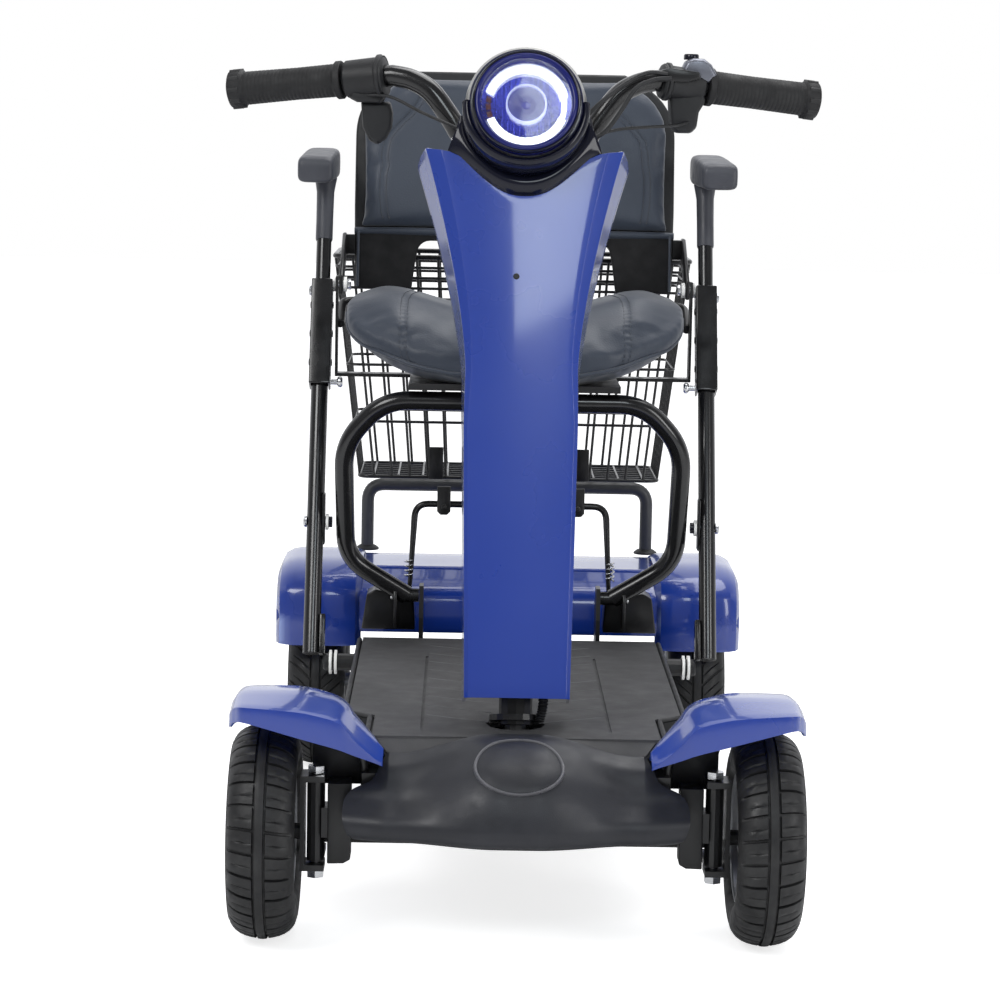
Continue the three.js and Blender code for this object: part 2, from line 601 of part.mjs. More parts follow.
const ARM_LOW = -160;
const CHANNEL = { low: 168, high: 297, half: 12.5, deep: 15, wall: 2.6 };
function sideArm() {
  const tube = rod(V(ARM_X, 0, ARM_LOW), V(ARM_X, 0, CHANNEL.low + 4), ARM_TUBE);
  const c = CHANNEL;
  const channel = box(ARM_X - c.half, ARM_X + c.half, -c.deep, c.deep, c.low, c.high);
  const inside = box(ARM_X - c.half + c.wall, ARM_X + c.half - c.wall, -c.deep + c.wall, c.deep - c.wall, 172, 300);
  const hook = box(214.5, 222, -9, 9, ARM_LOW, ARM_LOW + 40);
  const midBoss = rod(V(209.5, 0, 0), V(224, 0, 0), 7);
  return cut(join(tube, channel, hook, midBoss), inside);
}

const POST = { low: 200, high: 430, radius: 9.3 };
const armrestPost = () => rod(V(ARM_X, 0, POST.low), V(ARM_X, 0, POST.high), POST.radius);

// An arm pad: long rounded block with a raised front, seen from the side.
function armrestPad() {
  const p = PAD;
  const side = [[p.front, 739], [p.front + 8, p.low], [p.rear - 10, p.low], [p.rear, 742], [p.rear, 760]];
  side.push([p.rear - 14, p.high - 2], [p.front + 60, p.high - 4], [p.front + 20, p.high], [p.front, p.high - 10]);
  const pad = prism("x", side, p.inner, p.outer);
  const axis = (along) => V(ARM_X, MID.y + along * Math.sin(armLean), MID.z + along * Math.cos(armLean));
  return cut(pad, rod(axis(400), axis(POST.high + 1), POST.radius + GAP));
}

const lockPin = join(rod(V(206, 0, 172), V(216.8, 0, 172), 3.5), rod(V(203, 0, 172), V(209, 0, 172), 6.5));

// The bucket seat: half-width, top and underside from the front edge (v = 0) to the rear.
function seatPoint(u, v, z) {
  const round = Math.sqrt(1 - (1 - clamp01(v / 0.35)) ** 2 * 0.55);
  return V(SEAT.half * round * (2 * u - 1), THREE.MathUtils.lerp(SEAT.front, SEAT.rear, v), z);
}

function seatCushion() {
  const top = (u, v) => {
    const side = Math.abs(2 * u - 1);
    const crown = 552 + 10 * smooth(v) + 26 * side ** 3 * clamp01(v * 2.2) - 24 * clamp01(1 - v * 6);
    return seatPoint(u, v, crown - 10 * side ** 12);
  };
  const low = (u, v) => {
    const rise = 56 * Math.abs(2 * u - 1) ** 3.2;
    return seatPoint(0.06 + 0.88 * u, 0.04 + 0.92 * v, Math.min(SEAT.low + rise, top(u, v).z - 14));
  };
  return between(top, low, 12, 10);
}

function seatPan() {
  const plate = box(-122, 122, 500, 700, SEAT.low - 8, SEAT.low - GAP);
  const strap = box(-213.5, 213.5, 655, 677, SEAT.low - 8, SEAT.low - 4);
  const ear = box(211, 214, 655, 677, SEAT.low - 8, TOP.z + 10);
  return join(plate, strap, ear, mirrored(ear));
}

// The backrest: u across, v from the lower edge to the top, with rounded upper corners.
function backPoint(u, v, depth) {
  const z = THREE.MathUtils.lerp(BACK.low, BACK.high, v);
  const shoulder = clamp01((z - 790) / (BACK.high + 12 - 790));
  const half = (BACK.half - 3 * (1 - v)) * Math.sqrt(1 - shoulder ** 2 * 0.72);
  const side = 2 * u - 1;
  return V(half * side, 722 + 0.21 * (z - BACK.low) + depth - 14 * side ** 4, z);
}

function archCut() {
  const arch = [[-126, 500], [126, 500], [122, 640], [104, BACK.arch], [-104, BACK.arch], [-122, 640]];
  return prism("y", arch, 600, 900);
}

function backrestCushion() {
  const front = (u, v) => backPoint(u, v, 8 * Math.abs(2 * u - 1) ** 6);
  return cut(between(front, (u, v) => backPoint(u, v, 28), 10, 10), archCut());
}

function backrestShell() {
  const front = (u, v) => backPoint(u, v, 28 + GAP);
  const body = cut(between(front, (u, v) => backPoint(u, v, 40), 10, 10), archCut());
  const ear = prism("x", [[656, 599], [676, 599], [762, 640], [762, 668], [740, 668], [656, 621]], 205.5, 210);
  const bridge = box(180, 208, 756, 768, 640, 668);
  return join(body, ear, mirrored(ear), bridge, mirrored(bridge));
}

function basket() {
  const b = BASKET;
  // A tapered block from the floor to the rim, its sides moved in by the wire's thickness.
  const block = (inset, low, high) => {
    const face = (half, slope, z) => (u, v) =>
      V((half - inset) * (2 * u - 1), THREE.MathUtils.lerp(b.front + slope + inset, b.rear - slope - inset, v), z);
    return between(face(b.floorHalf, 12, low), face(b.rimHalf, 0, high), 1, 1);
  };
  return cut(block(0, b.floor, b.rim), block(b.wire, b.floor + b.wire, b.rim + 1));
}

function bail() {
  const hoop = bentTube([V(-120, 620, 242), V(-114, 620, 352), V(114, 620, 352), V(120, 620, 242)], 4, 14);
  return hoop;
}

add("u_frame", uFrame(), blackPaint, uFrameGroup);
addPair("side_arm", sideArm(), blackPaint, armGroup);
addPair("armrest_post", armrestPost(), blackPaint, armGroup);
addPair("armrest_pad", armrestPad(), blackPlastic);
addPair("lock_pin", lockPin, silver, armGroup);
add("seat_pan", seatPan(), blackPaint);
add("seat_cushion", seatCushion(), leather);
add("backrest_shell", backrestShell(), blackPlastic);
add("backrest_cushion", backrestCushion(), leather);
add("basket", basket(), blackPaint);
add("bail", bail(), blackPaint);

export default scooter;
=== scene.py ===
"""Looks of the folding mobility scooter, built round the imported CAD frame.

Lengths are in millimetres in a working frame whose y is 0 at the front axle; place() turns them into the
row frame's metres. Pieces for the rider's left (+X) are built once and mirrored for the right.
"""

import math

import bmesh
import bpy
import numpy as np
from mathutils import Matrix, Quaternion, Vector
from mathutils.bvhtree import BVHTree


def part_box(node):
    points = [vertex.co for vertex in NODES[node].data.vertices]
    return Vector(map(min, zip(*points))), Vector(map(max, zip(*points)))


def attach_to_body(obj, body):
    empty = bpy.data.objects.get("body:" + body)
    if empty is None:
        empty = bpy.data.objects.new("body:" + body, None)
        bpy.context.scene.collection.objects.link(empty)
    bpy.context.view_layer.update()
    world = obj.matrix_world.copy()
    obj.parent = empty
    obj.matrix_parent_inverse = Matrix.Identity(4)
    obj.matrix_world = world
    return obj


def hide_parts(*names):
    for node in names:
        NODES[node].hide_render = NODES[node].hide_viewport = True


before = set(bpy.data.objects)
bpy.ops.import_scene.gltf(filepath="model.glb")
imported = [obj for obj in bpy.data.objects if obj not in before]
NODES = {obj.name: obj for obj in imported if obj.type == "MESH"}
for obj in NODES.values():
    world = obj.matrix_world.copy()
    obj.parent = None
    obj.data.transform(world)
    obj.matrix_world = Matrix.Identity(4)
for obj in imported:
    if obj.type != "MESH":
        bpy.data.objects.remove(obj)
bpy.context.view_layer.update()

MM = 0.001
LEFT, RIGHT = 1, -1
SIDES = (("left", LEFT), ("right", RIGHT))


def box_mm(node):
    """A CAD node's lowest and highest corners, with y measured from the front axle."""
    shift = Vector((0, AXLE_Y, 0))
    return tuple(Vector([round(c / MM, 3) for c in corner - shift]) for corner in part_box(node))


def centre_of(node):
    low, high = box_mm(node)
    return (low + high) / 2


AXLE_Y = sum(c.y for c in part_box("front_tyre_left")) / 2
TYRE_RADIUS = box_mm("front_tyre_left")[1].z / 2
WHEELBASE = centre_of("rear_tyre_left").y
DECK_TOP = box_mm("deck_mat")[1].z

LEAN = math.radians(15)
COLUMN_BASE = Vector((0, 78, DECK_TOP))
ALONG = Vector((0, math.sin(LEAN), math.cos(LEAN)))
BACK = Vector((0, math.cos(LEAN), -math.sin(LEAN)))


def place(point):
    """A point of the working frame, as metres in the row frame."""
    return Vector((point[0] * MM, point[1] * MM + AXLE_Y, point[2] * MM))


def on_column(x, back, along):
    """A point given across, behind and along the leaning steering column."""
    return COLUMN_BASE + ALONG * along + BACK * back + Vector((x, 0, 0))


def clamp(t):
    return min(max(t, 0.0), 1.0)


def smooth(t):
    t = clamp(t)
    return t * t * (3 - 2 * t)


def lerp(a, b, t):
    return a + (b - a) * t


def circle(count):
    """The angles of points spaced evenly round a circle."""
    return [2 * math.pi * k / count for k in range(count)]


# ---- materials -------------------------------------------------------------------------------------


class Shader:
    """A principled material that is built up node by node, in object space."""

    def __init__(self, name, color, roughness, metallic=0.0):
        self.material = bpy.data.materials.new(name)
        self.material.use_nodes = True
        self.tree = self.material.node_tree
        self.bsdf = self.tree.nodes["Principled BSDF"]
        self.coords = self.node("TexCoord").outputs["Object"]
        self.color = color
        self.normal = None
        self.set("Base Color", (*color, 1)).set("Roughness", roughness).set("Metallic", metallic)

    def set(self, socket, value):
        self.bsdf.inputs[socket].default_value = value
        return self

    def link(self, output, socket):
        self.tree.links.new(output, socket)

    def node(self, kind, **values):
        """A new node with some inputs set; an underscore stands for a space in an input's name."""
        made = self.tree.nodes.new("ShaderNode" + kind)
        for name, value in values.items():
            made.inputs[name.replace("_", " ")].default_value = value
        return made

    def noise(self, scale, detail=4.0, stretch=(1, 1, 1)):
        mapping = self.node("Mapping", Scale=stretch)
        self.link(self.coords, mapping.inputs["Vector"])
        texture = self.node("TexNoise", Scale=scale, Detail=detail)
        self.link(mapping.outputs["Vector"], texture.inputs["Vector"])
        return texture.outputs["Fac"]

    def cells(self, scale):
        texture = self.node("TexVoronoi", Scale=scale)
        self.link(self.coords, texture.inputs["Vector"])
        return texture.outputs["Distance"]

    def ramp(self, factor, low, high, start=0.0, end=1.0):
        """Low where the factor is at start or under, high where it is at end or over."""
        scale = self.node("MapRange", From_Min=start, From_Max=end, To_Min=low, To_Max=high)
        self.link(factor, scale.inputs["Value"])
        return scale.outputs["Result"]

    def vary_color(self, factor, other, start=0.35, end=0.65):
        mix = self.tree.nodes.new("ShaderNodeMix")
        mix.data_type = "RGBA"
        mix.inputs["A"].default_value = (*self.color, 1)
        mix.inputs["B"].default_value = (*other, 1)
        before = self.bsdf.inputs["Base Color"].links
        if before:
            self.link(before[0].from_socket, mix.inputs["A"])
        self.link(self.ramp(factor, 0, 1, start, end), mix.inputs["Factor"])
        self.link(mix.outputs["Result"], self.bsdf.inputs["Base Color"])
        return self

    def vary_roughness(self, factor, low, high, start=0.3, end=0.7):
        self.link(self.ramp(factor, low, high, start, end), self.bsdf.inputs["Roughness"])
        return self

    def bump(self, height, strength, distance_mm):
        raised = self.node("Bump", Strength=strength, Distance=distance_mm * MM)
        self.link(height, raised.inputs["Height"])
        if self.normal:
            self.link(self.normal, raised.inputs["Normal"])
        self.normal = raised.outputs["Normal"]
        self.link(self.normal, self.bsdf.inputs["Normal"])
        return self

    def painted_edge_highlight(self, amount, lighter):
        """Edges painted lighter as a painted highlight: pointiness picks them out."""
        return self.vary_color(self.node("NewGeometry").outputs["Pointiness"], lighter, 0.56, 0.56 + amount)

    def facing(self, other, blend=0.35):
        """Another colour where the surface turns away from the eye: a painted sheen at grazing angles."""
        return self.vary_color(self.node("LayerWeight", Blend=blend).outputs["Facing"], other, 0.1, 0.95)


def blue_paint():
    shader = Shader("blue_paint", (0.01, 0.046, 0.35), 0.34)
    # Edges painted lighter blue: a painted highlight.
    shader.facing((0.015, 0.07, 0.42)).painted_edge_highlight(0.3, (0.3, 0.4, 0.8))
    shader.vary_roughness(shader.noise(9), 0.24, 0.34)
    shader.bump(shader.noise(60, 2), 0.02, 0.2)
    return shader.set("Coat Weight", 1.0).set("Coat Roughness", 0.07).material


def powder_coat(name, roughness, coat, color=(0.008, 0.008, 0.009)):
    shader = Shader(name, color, roughness, 0.1)
    # Edges a little lighter than the coat: a painted highlight.
    shader.painted_edge_highlight(0.3, tuple(c + 0.05 for c in color))
    shader.vary_roughness(shader.noise(35), roughness - 0.08, roughness + 0.1)
    shader.bump(shader.noise(900, 2), 0.12, 0.12)
    return shader.set("Coat Weight", coat).set("Coat Roughness", roughness / 2).material


def textured_plastic(name, color, roughness=0.5, grain=1400):
    shader = Shader(name, color, roughness)
    shader.vary_color(shader.noise(14), tuple(c * 1.5 for c in color))
    # Edges three times lighter: a painted highlight.
    shader.painted_edge_highlight(0.35, tuple(c * 3 for c in color))
    shader.vary_roughness(shader.noise(60), roughness - 0.06, roughness + 0.1)
    return shader.bump(shader.cells(grain), 0.22, 0.25).material


def gloss_plastic(name, color):
    shader = Shader(name, color, 0.12)
    shader.vary_roughness(shader.noise(20), 0.08, 0.18)
    shader.set("Specular IOR Level", 0.3).set("Coat Weight", 0.2)
    return shader.bump(shader.noise(120, 2), 0.03, 0.1).material


def tyre_rubber():
    shader = Shader("tyre_rubber", (0.013, 0.013, 0.014), 0.45)
    shader.vary_color(shader.noise(42, 6), (0.034, 0.034, 0.034), 0.45, 0.8)
    # Lighter tread and rib edges: a painted highlight.
    shader.painted_edge_highlight(0.3, (0.07, 0.068, 0.065))
    shader.vary_roughness(shader.noise(90), 0.36, 0.62)
    return shader.bump(shader.noise(700, 3), 0.2, 0.3).material


def mat_rubber():
    shader = Shader("mat_rubber", (0.06, 0.06, 0.062), 0.7)
    shader.vary_color(shader.noise(11, 6), (0.085, 0.085, 0.088), 0.35, 0.75)
    shader.vary_roughness(shader.noise(40), 0.6, 0.85)
    return shader.bump(shader.cells(1100), 0.5, 0.4).material


def grip_rubber():
    shader = Shader("grip_rubber", (0.011, 0.011, 0.012), 0.55)
    # Lighter edges on the grip: a painted highlight.
    shader.painted_edge_highlight(0.3, (0.06, 0.06, 0.06))
    shader.vary_roughness(shader.noise(60), 0.5, 0.75)
    return shader.bump(shader.noise(1200, 2), 0.3, 0.2).material


def leatherette():
    shader = Shader("leatherette", (0.036, 0.047, 0.07), 0.4)
    shader.vary_color(shader.noise(7, 5), (0.052, 0.066, 0.094), 0.35, 0.7)
    # Lighter edges on the seat cover: a painted highlight.
    shader.painted_edge_highlight(0.3, (0.09, 0.1, 0.115))
    shader.vary_roughness(shader.noise(30), 0.36, 0.52)
    shader.bump(shader.noise(26, 5), 0.12, 1.2)
    shader.bump(shader.cells(520), 0.3, 0.35)
    return shader.set("Sheen Weight", 0.25).set("Specular IOR Level", 0.45).material


def metal(name, color, roughness, scratch=0.08):
    shader = Shader(name, color, roughness, 1.0)
    shader.vary_roughness(shader.noise(120, 3, (1, 1, 6)), roughness, roughness + 0.15)
    return shader.bump(shader.noise(400, 3, (1, 1, 12)), scratch, 0.1).material


def clear_lens():
    shader = Shader("clear_lens", (0.93, 0.96, 1.0), 0.02)
    shader.vary_roughness(shader.noise(30), 0.01, 0.05)
    shader.set("Transmission Weight", 1.0).set("IOR", 1.6)
    return shader.set("Alpha", 0.55).material


def glowing(name, color, strength):
    shader = Shader(name, color, 0.3)
    shader.vary_color(shader.noise(300), tuple(min(1, c * 1.1) for c in color))
    return shader.set("Emission Color", (*color, 1)).set("Emission Strength", strength).material


# Each finish: its material, and the slot of the record that it stands for.
FINISHES = {
    "blue": (blue_paint(), "body_blue"),
    "paint": (powder_coat("black_powder_coat", 0.36, 0.25), "paint"),
    "gloss_paint": (powder_coat("black_gloss_paint", 0.2, 0.5), "paint"),
    # Lighter grey copy of the black paint for the basket post: painted light, the light falling on the black
    # post painted into its colour.
    "post_lit_grey": (powder_coat("lit_grey_black_paint", 0.42, 0.1, (0.07, 0.072, 0.076)), "paint"),
    "wire": (powder_coat("black_wire_coat", 0.3, 0.3), "paint"),
    "plastic": (textured_plastic("black_plastic", (0.012, 0.0125, 0.014)), "black_plastic"),
    "badge_rim": (textured_plastic("badge_rim_plastic", (0.09, 0.09, 0.1), 0.3, 900), "black_plastic"),
    "fabric": (textured_plastic("black_fabric", (0.007, 0.007, 0.008), 0.8, 700), "leather"),
    "thread": (textured_plastic("stitch_thread", (0.05, 0.055, 0.065), 0.7, 2000), "leather"),
    "mat_line": (textured_plastic("mat_line_rubber", (0.1, 0.1, 0.105), 0.6, 900), "rubber"),
    "cowl": (textured_plastic("bumper_plastic", (0.018, 0.019, 0.024), 0.42, 1000), "black_plastic"),
    "pad": (textured_plastic("pad_plastic", (0.055, 0.058, 0.07), 0.4, 800), "black_plastic"),
    "gloss": (gloss_plastic("gloss_black", (0.006, 0.007, 0.017)), "gloss_black"),
    "navy": (gloss_plastic("gloss_navy", (0.012, 0.016, 0.14)), "body_blue"),
    "tyre": (tyre_rubber(), "tyre"),
    "mat": (mat_rubber(), "rubber"),
    "grip": (grip_rubber(), "rubber"),
    "leather": (leatherette(), "leather"),
    "chrome": (metal("chrome", (0.72, 0.73, 0.75), 0.14), "chrome"),
    "alloy": (metal("cast_alloy", (0.36, 0.37, 0.39), 0.36, 0.25), "alloy"),
    "silver": (metal("silver_housing", (0.5, 0.5, 0.48), 0.3), "alloy"),
    "pod_grey": (metal("pod_grey_metal", (0.24, 0.25, 0.29), 0.34), "alloy"),
    "nylon": (textured_plastic("white_nylon", (0.75, 0.75, 0.73), 0.4), "black_plastic"),
    "lens": (clear_lens(), "lens"),
    "led": (glowing("led_ring", (0.9, 0.94, 1.0), 1.6), "lens"),
    "amber": (gloss_plastic("amber_plastic", (0.16, 0.05, 0.045)), "red_plastic"),
    "red": (gloss_plastic("red_plastic", (0.5, 0.02, 0.02)), "red_plastic"),
    "reflector": (metal("lamp_reflector", (0.06, 0.07, 0.42), 0.2, 0.02), "alloy"),
    "projector": (gloss_plastic("projector_lens", (0.12, 0.13, 0.42)), "lens"),
    "led_dim": (glowing("projector_ring", (0.6, 0.64, 0.9), 0.5), "lens"),
}


# ---- mesh building ---------------------------------------------------------------------------------


BLOCK_FACES = [(0, 2, 3, 1), (4, 5, 7, 6), (0, 1, 5, 4), (2, 6, 7, 3), (0, 4, 6, 2), (1, 3, 7, 5)]


class Shape:
    """Vertices and faces in the working frame, gathered from several simple forms."""

    def __init__(self):
        self.points = []
        self.faces = []

    def add(self, points, faces):
        start = len(self.points)
        self.points += [Vector(p) for p in points]
        self.faces += [tuple(start + i for i in face) for face in faces]
        return self

    def grid(self, rows, closed=False, capped=False):
        """Rows of points joined by quads; closed joins each row's ends, capped covers the outer rows."""
        across = len(rows[0])
        faces = []
        for r in range(len(rows) - 1):
            for c in range(across if closed else across - 1):
                a, b = r * across + c, r * across + (c + 1) % across
                faces.append((a, b, b + across, a + across))
        if capped:
            last = (len(rows) - 1) * across
            faces.append(tuple(reversed(range(across))))
            faces.append(tuple(last + c for c in range(across)))
        return self.add([p for row in rows for p in row], faces)

    def tube(self, line, radius, sides=20):
        """A round tube along a line of points; radius may be a number or one per point."""
        line = [Vector(p) for p in line]
        radii = radius if isinstance(radius, (list, tuple)) else [radius] * len(line)
        before, turn, rings = Vector((0, 0, 1)), Quaternion(), []
        for i, centre in enumerate(line):
            heading = (line[min(i + 1, len(line) - 1)] - line[max(i - 1, 0)]).normalized()
            turn = before.rotation_difference(heading) @ turn
            before = heading
            ring = [Vector((math.cos(a), math.sin(a), 0)) * radii[i] for a in circle(sides)]
            rings.append([centre + turn @ spoke for spoke in ring])
        return self.grid(rings, closed=True, capped=True)

    def lathe(self, profile, centre, axis, sides=48):
        """A profile of (radius, distance along the axis) turned about an axis; it is closed on itself."""
        turn = Vector((0, 0, 1)).rotation_difference(Vector(axis))
        rows = []
        for radius, along in [*profile, profile[0]]:
            ring = [Vector((radius * math.cos(a), radius * math.sin(a), along)) for a in circle(sides)]
            rows.append([Vector(centre) + turn @ p for p in ring])
        return self.grid(rows, closed=True)

    def block(self, low, high):
        """A box between two corners."""
        x, y, z = zip(low, high)
        corners = [(x[i], y[j], z[k]) for k in (0, 1) for j in (0, 1) for i in (0, 1)]
        return self.add(corners, BLOCK_FACES)

    def prism(self, outline, axis, *stations):
        """An outline of (y, z) points set at each x station, or of (x, z) points at each y station."""
        if axis == "x":
            rows = [[(x, a, z) for a, z in outline] for x in stations]
        else:
            rows = [[(a, y, z) for a, z in outline] for y in stations]
        return self.grid(rows, closed=True, capped=True)

    def mirrored(self):
        other = Shape()
        other.points = [Vector((-p.x, p.y, p.z)) for p in self.points]
        other.faces = [tuple(reversed(face)) for face in self.faces]
        return other


def mirrored_line(points):
    """A line's mirror image, run the other way so that the line itself can follow it."""
    return [Vector((-p.x, p.y, p.z)) for p in reversed(points)]


def bent(points, bend, steps=6):
    """Points of a line with a rounded bend at each inner corner."""
    points = [Vector(p) for p in points]
    line = [points[0]]
    for before, corner, after in zip(points, points[1:], points[2:]):
        start = corner + (before - corner).normalized() * bend
        end = corner + (after - corner).normalized() * bend
        for i in range(steps + 1):
            t = i / steps
            line.append(start * (1 - t) ** 2 + corner * 2 * t * (1 - t) + end * t**2)
    return [*line, points[-1]]


def curve(points, steps=8):
    """A smooth line through all the points (Catmull-Rom)."""
    points = [Vector(p) for p in points]
    ends = [points[0] * 2 - points[1], *points, points[-1] * 2 - points[-2]]
    line = []
    for a, b, c, d in zip(ends, ends[1:], ends[2:], ends[3:]):
        for i in range(steps):
            t = i / steps
            bend, twist = a * 2 - b * 5 + c * 4 - d, b * 3 - a - c * 3 + d
            line.append((b * 2 + (c - a) * t + bend * t**2 + twist * t**3) / 2)
    return [*line, points[-1]]


def new_object(name, shape, merge=True):
    """A shape as a Blender object, its faces pointing out; merge joins the points that coincide."""
    mesh = bpy.data.meshes.new(name)
    mesh.from_pydata([place(p) for p in shape.points], [], shape.faces)
    mesh.update()
    made = bmesh.new()
    made.from_mesh(mesh)
    if merge:
        bmesh.ops.remove_doubles(made, verts=made.verts, dist=1e-6)
    bmesh.ops.recalc_face_normals(made, faces=made.faces)
    made.to_mesh(mesh)
    made.free()
    thing = bpy.data.objects.new(name, mesh)
    bpy.context.scene.collection.objects.link(thing)
    return thing


def round_edges(thing, width, segments, angle):
    rounded = thing.modifiers.new("rounded", "BEVEL")
    rounded.width = width * MM
    rounded.segments = segments
    rounded.limit_method = "ANGLE"
    rounded.angle_limit = math.radians(angle)


def paint(thing, finish):
    thing.data.materials.clear()
    thing.data.materials.append(FINISHES[finish][0])


def attach(thing, finish, body, replaces):
    """Gives a new piece its finish, the body it rides on and the CAD nodes it stands for."""
    paint(thing, finish)
    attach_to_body(thing, body)
    if replaces:
        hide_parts(*replaces)
    return thing


def piece(name, shape, finish, body, replaces=(), bevel=0.0, solidify=0.0, subdivide=0, sharp=35, segments=2):
    """Hard piece: solidify thickens it inward, or outward when below 0; edges over sharp degrees stay."""
    thing = new_object(name, shape)
    if solidify:
        skin = thing.modifiers.new("skin", "SOLIDIFY")
        skin.thickness = abs(solidify) * MM
        skin.offset = -1 if solidify > 0 else 1
    if subdivide:
        finer = thing.modifiers.new("finer", "SUBSURF")
        finer.levels = finer.render_levels = subdivide
    if bevel:
        round_edges(thing, bevel, segments, sharp)
    apply_modifiers(thing)
    smooth_by_angle(thing.data, sharp)
    return attach(thing, finish, body, replaces)


def apply_modifiers(thing):
    if not thing.modifiers:
        return
    bpy.context.view_layer.update()
    graph = bpy.context.evaluated_depsgraph_get()
    done = bpy.data.meshes.new_from_object(thing.evaluated_get(graph))
    thing.modifiers.clear()
    thing.data = done


def smooth_by_angle(mesh, degrees):
    mesh.polygons.foreach_set("use_smooth", [True] * len(mesh.polygons))
    mesh.set_sharp_from_angle(angle=math.radians(degrees))


def both(name, shape, finish, body, replaces=(), **options):
    """A piece for the rider's left and its mirror image for the right."""
    for side, sign in SIDES:
        made = shape if sign == LEFT else shape.mirrored()
        stands_for = [f"{node}_{side}" for node in replaces]
        piece(f"{name}_{side}", made, finish, body.format(side=side), stands_for, **options)


def bolt(shape, centre, axis, radius, height, nut=True):
    """A hexagon nut, or a domed bolt head, standing on a face."""
    head = [(0.01, 0), (radius, 0), (radius, height * 0.7), (radius * 0.8, height), (0.01, height)]
    return shape.lathe(head, centre, Vector(axis).normalized(), 6 if nut else 20)


# ---- tiller ------------------------------------------------------------------------------------------

FAIRING = {"low": 23, "swoop": 538, "horn": 588, "front": -56, "rear": 24}
LAMP = {"along": 624, "front": -94, "housing": 62, "ring": 45, "ring_inner": 35, "projector": 20}
LAMP_TILT = math.radians(21)
LAMP_FORWARD = Vector((0, -math.cos(LAMP_TILT), math.sin(LAMP_TILT)))
LAMP_UP = Vector((0, math.sin(LAMP_TILT), math.cos(LAMP_TILT)))


def fairing_bands(along):
    """Half-width of the flat face, then the width of the chamfer and of the flared wall beside it."""
    flare = clamp((along - 355) / (FAIRING["horn"] - 355))
    total = 55 + 6 * clamp((along - FAIRING["low"]) / 330) + 52 * flare**1.4
    widen = clamp((along - 300) / 280)
    chamfer, wall = 4 + 11 * widen, 2 + 9 * widen
    return total - chamfer - wall, chamfer, wall


def fairing_top(face, chamfer, wall):
    """Height of the top edge along the column: a swoop across the face that ends in two rounded horns."""
    top = lerp(FAIRING["swoop"], FAIRING["horn"] - 4, smooth(face * 0.98) ** 1.25)
    return top + 4 * chamfer - 7 * wall**4


def fairing_point(side, face, chamfer, wall, up):
    """face, chamfer and wall each run from 0 to 1 across their band; up runs from the foot to the top."""
    along = lerp(FAIRING["low"], fairing_top(face, chamfer, wall), up)
    half, chamfer_width, wall_width = fairing_bands(along)
    x = half * face + chamfer_width * chamfer + wall_width * wall
    back = FAIRING["front"] + 5 * face**2 * half / 84 + 0.7 * chamfer_width * chamfer
    back = lerp(back, FAIRING["rear"], wall)
    return on_column(side * x, back, along)


def fairing():
    """Blue cover: a flat face, chamfers and flared walls, from the column's foot up to two horns."""
    steps = [(i / 10, 0, 0) for i in range(11)] + [(1, i / 3, 0) for i in (1, 2, 3)]
    steps += [(1, 1, (i / 8) ** 1.2) for i in range(1, 9)]
    columns = [(RIGHT, *step) for step in reversed(steps)] + [(LEFT, *step) for step in steps[1:]]
    rows = [[fairing_point(*column, r / 44) for column in columns] for r in range(45)]
    piece("tiller_fairing_skin", Shape().grid(rows), "blue", "tiller", ["tiller_fairing"], bevel=1.3,
          solidify=3, sharp=17, segments=3)
    head = [(0.01, 0), (3.2, 0), (2.6, 1.2), (0.01, 1.4)]
    screw = Shape().lathe(head, on_column(-7, FAIRING["front"] - 0.2, 452), -BACK, 20)
    piece("fairing_screw", screw, "plastic", "tiller")


def swoop_line(x):
    return fairing_top(min(abs(x) / 84, 1), 0, 0)


def dash():
    """The gloss chin between the fairing's top edge and the lamp, with an arm up each side of it."""
    rows = []
    for r in range(13):
        up = r / 12
        row = []
        for c in range(41):
            side = (c - 20) / 20
            low = on_column(80 * side, FAIRING["front"] + 4.5 + 6 * side**2, swoop_line(80 * side) - 2)
            turn = math.radians(88) * side
            reach = LAMP["housing"] + 1
            high = on_column(reach * math.sin(turn), -50, LAMP["along"] - reach * math.cos(turn))
            bulge = -BACK * 12 * math.sin(math.pi * up) * (1 - 0.6 * side**2)
            row.append(low.lerp(high, up) + bulge)
        rows.append(row)
    chin = Shape().grid(rows)
    piece("dash_chin", chin, "gloss", "tiller", ["dash_shell"], bevel=1, solidify=-3, sharp=40)
    arms = Shape()
    for side in (LEFT, RIGHT):
        stations = ((side * 52, -30, 560), (side * 66, -38, 590), (side * 66, -44, 622))
        line = curve([on_column(*station) for station in stations])
        arms.tube(line, [8 - 6 * (i / (len(line) - 1)) ** 2 for i in range(len(line))], 16)
    piece("lamp_arms", arms, "gloss", "tiller", sharp=50)
    for side, sign in SIDES:
        screws = Shape()
        for along in (585, 597):
            bolt(screws, on_column(sign * 73, -43, along), -BACK + Vector((sign * 0.5, 0, 0)), 2.6, 2)
        piece(f"dash_screws_{side}", screws, "chrome", "tiller")


def lamp_cradle():
    """Gloss black band round the lower half of the lamp, thinning out at its two ends."""
    centre = on_column(0, LAMP["front"], LAMP["along"])
    rows = []
    for i in range(61):
        angle = math.radians(lerp(176, 364, i / 60))
        across = Vector((math.cos(angle), 0, 0)) + LAMP_UP * math.sin(angle)
        taper = 2 * abs(i / 30 - 1) ** 4
        section = [(57.2, -7.6), (60, -5.6), (63.6, -7.6), (65.2, -13), (65.6 - taper, -46), (62.8, -50),
                   (62.8, -13), (60, -8)]
        rows.append([centre + across * radius + LAMP_FORWARD * ahead for radius, ahead in section])
    piece("lamp_cradle", Shape().grid(rows, closed=True, capped=True), "gloss", "tiller", bevel=0.6, sharp=50)


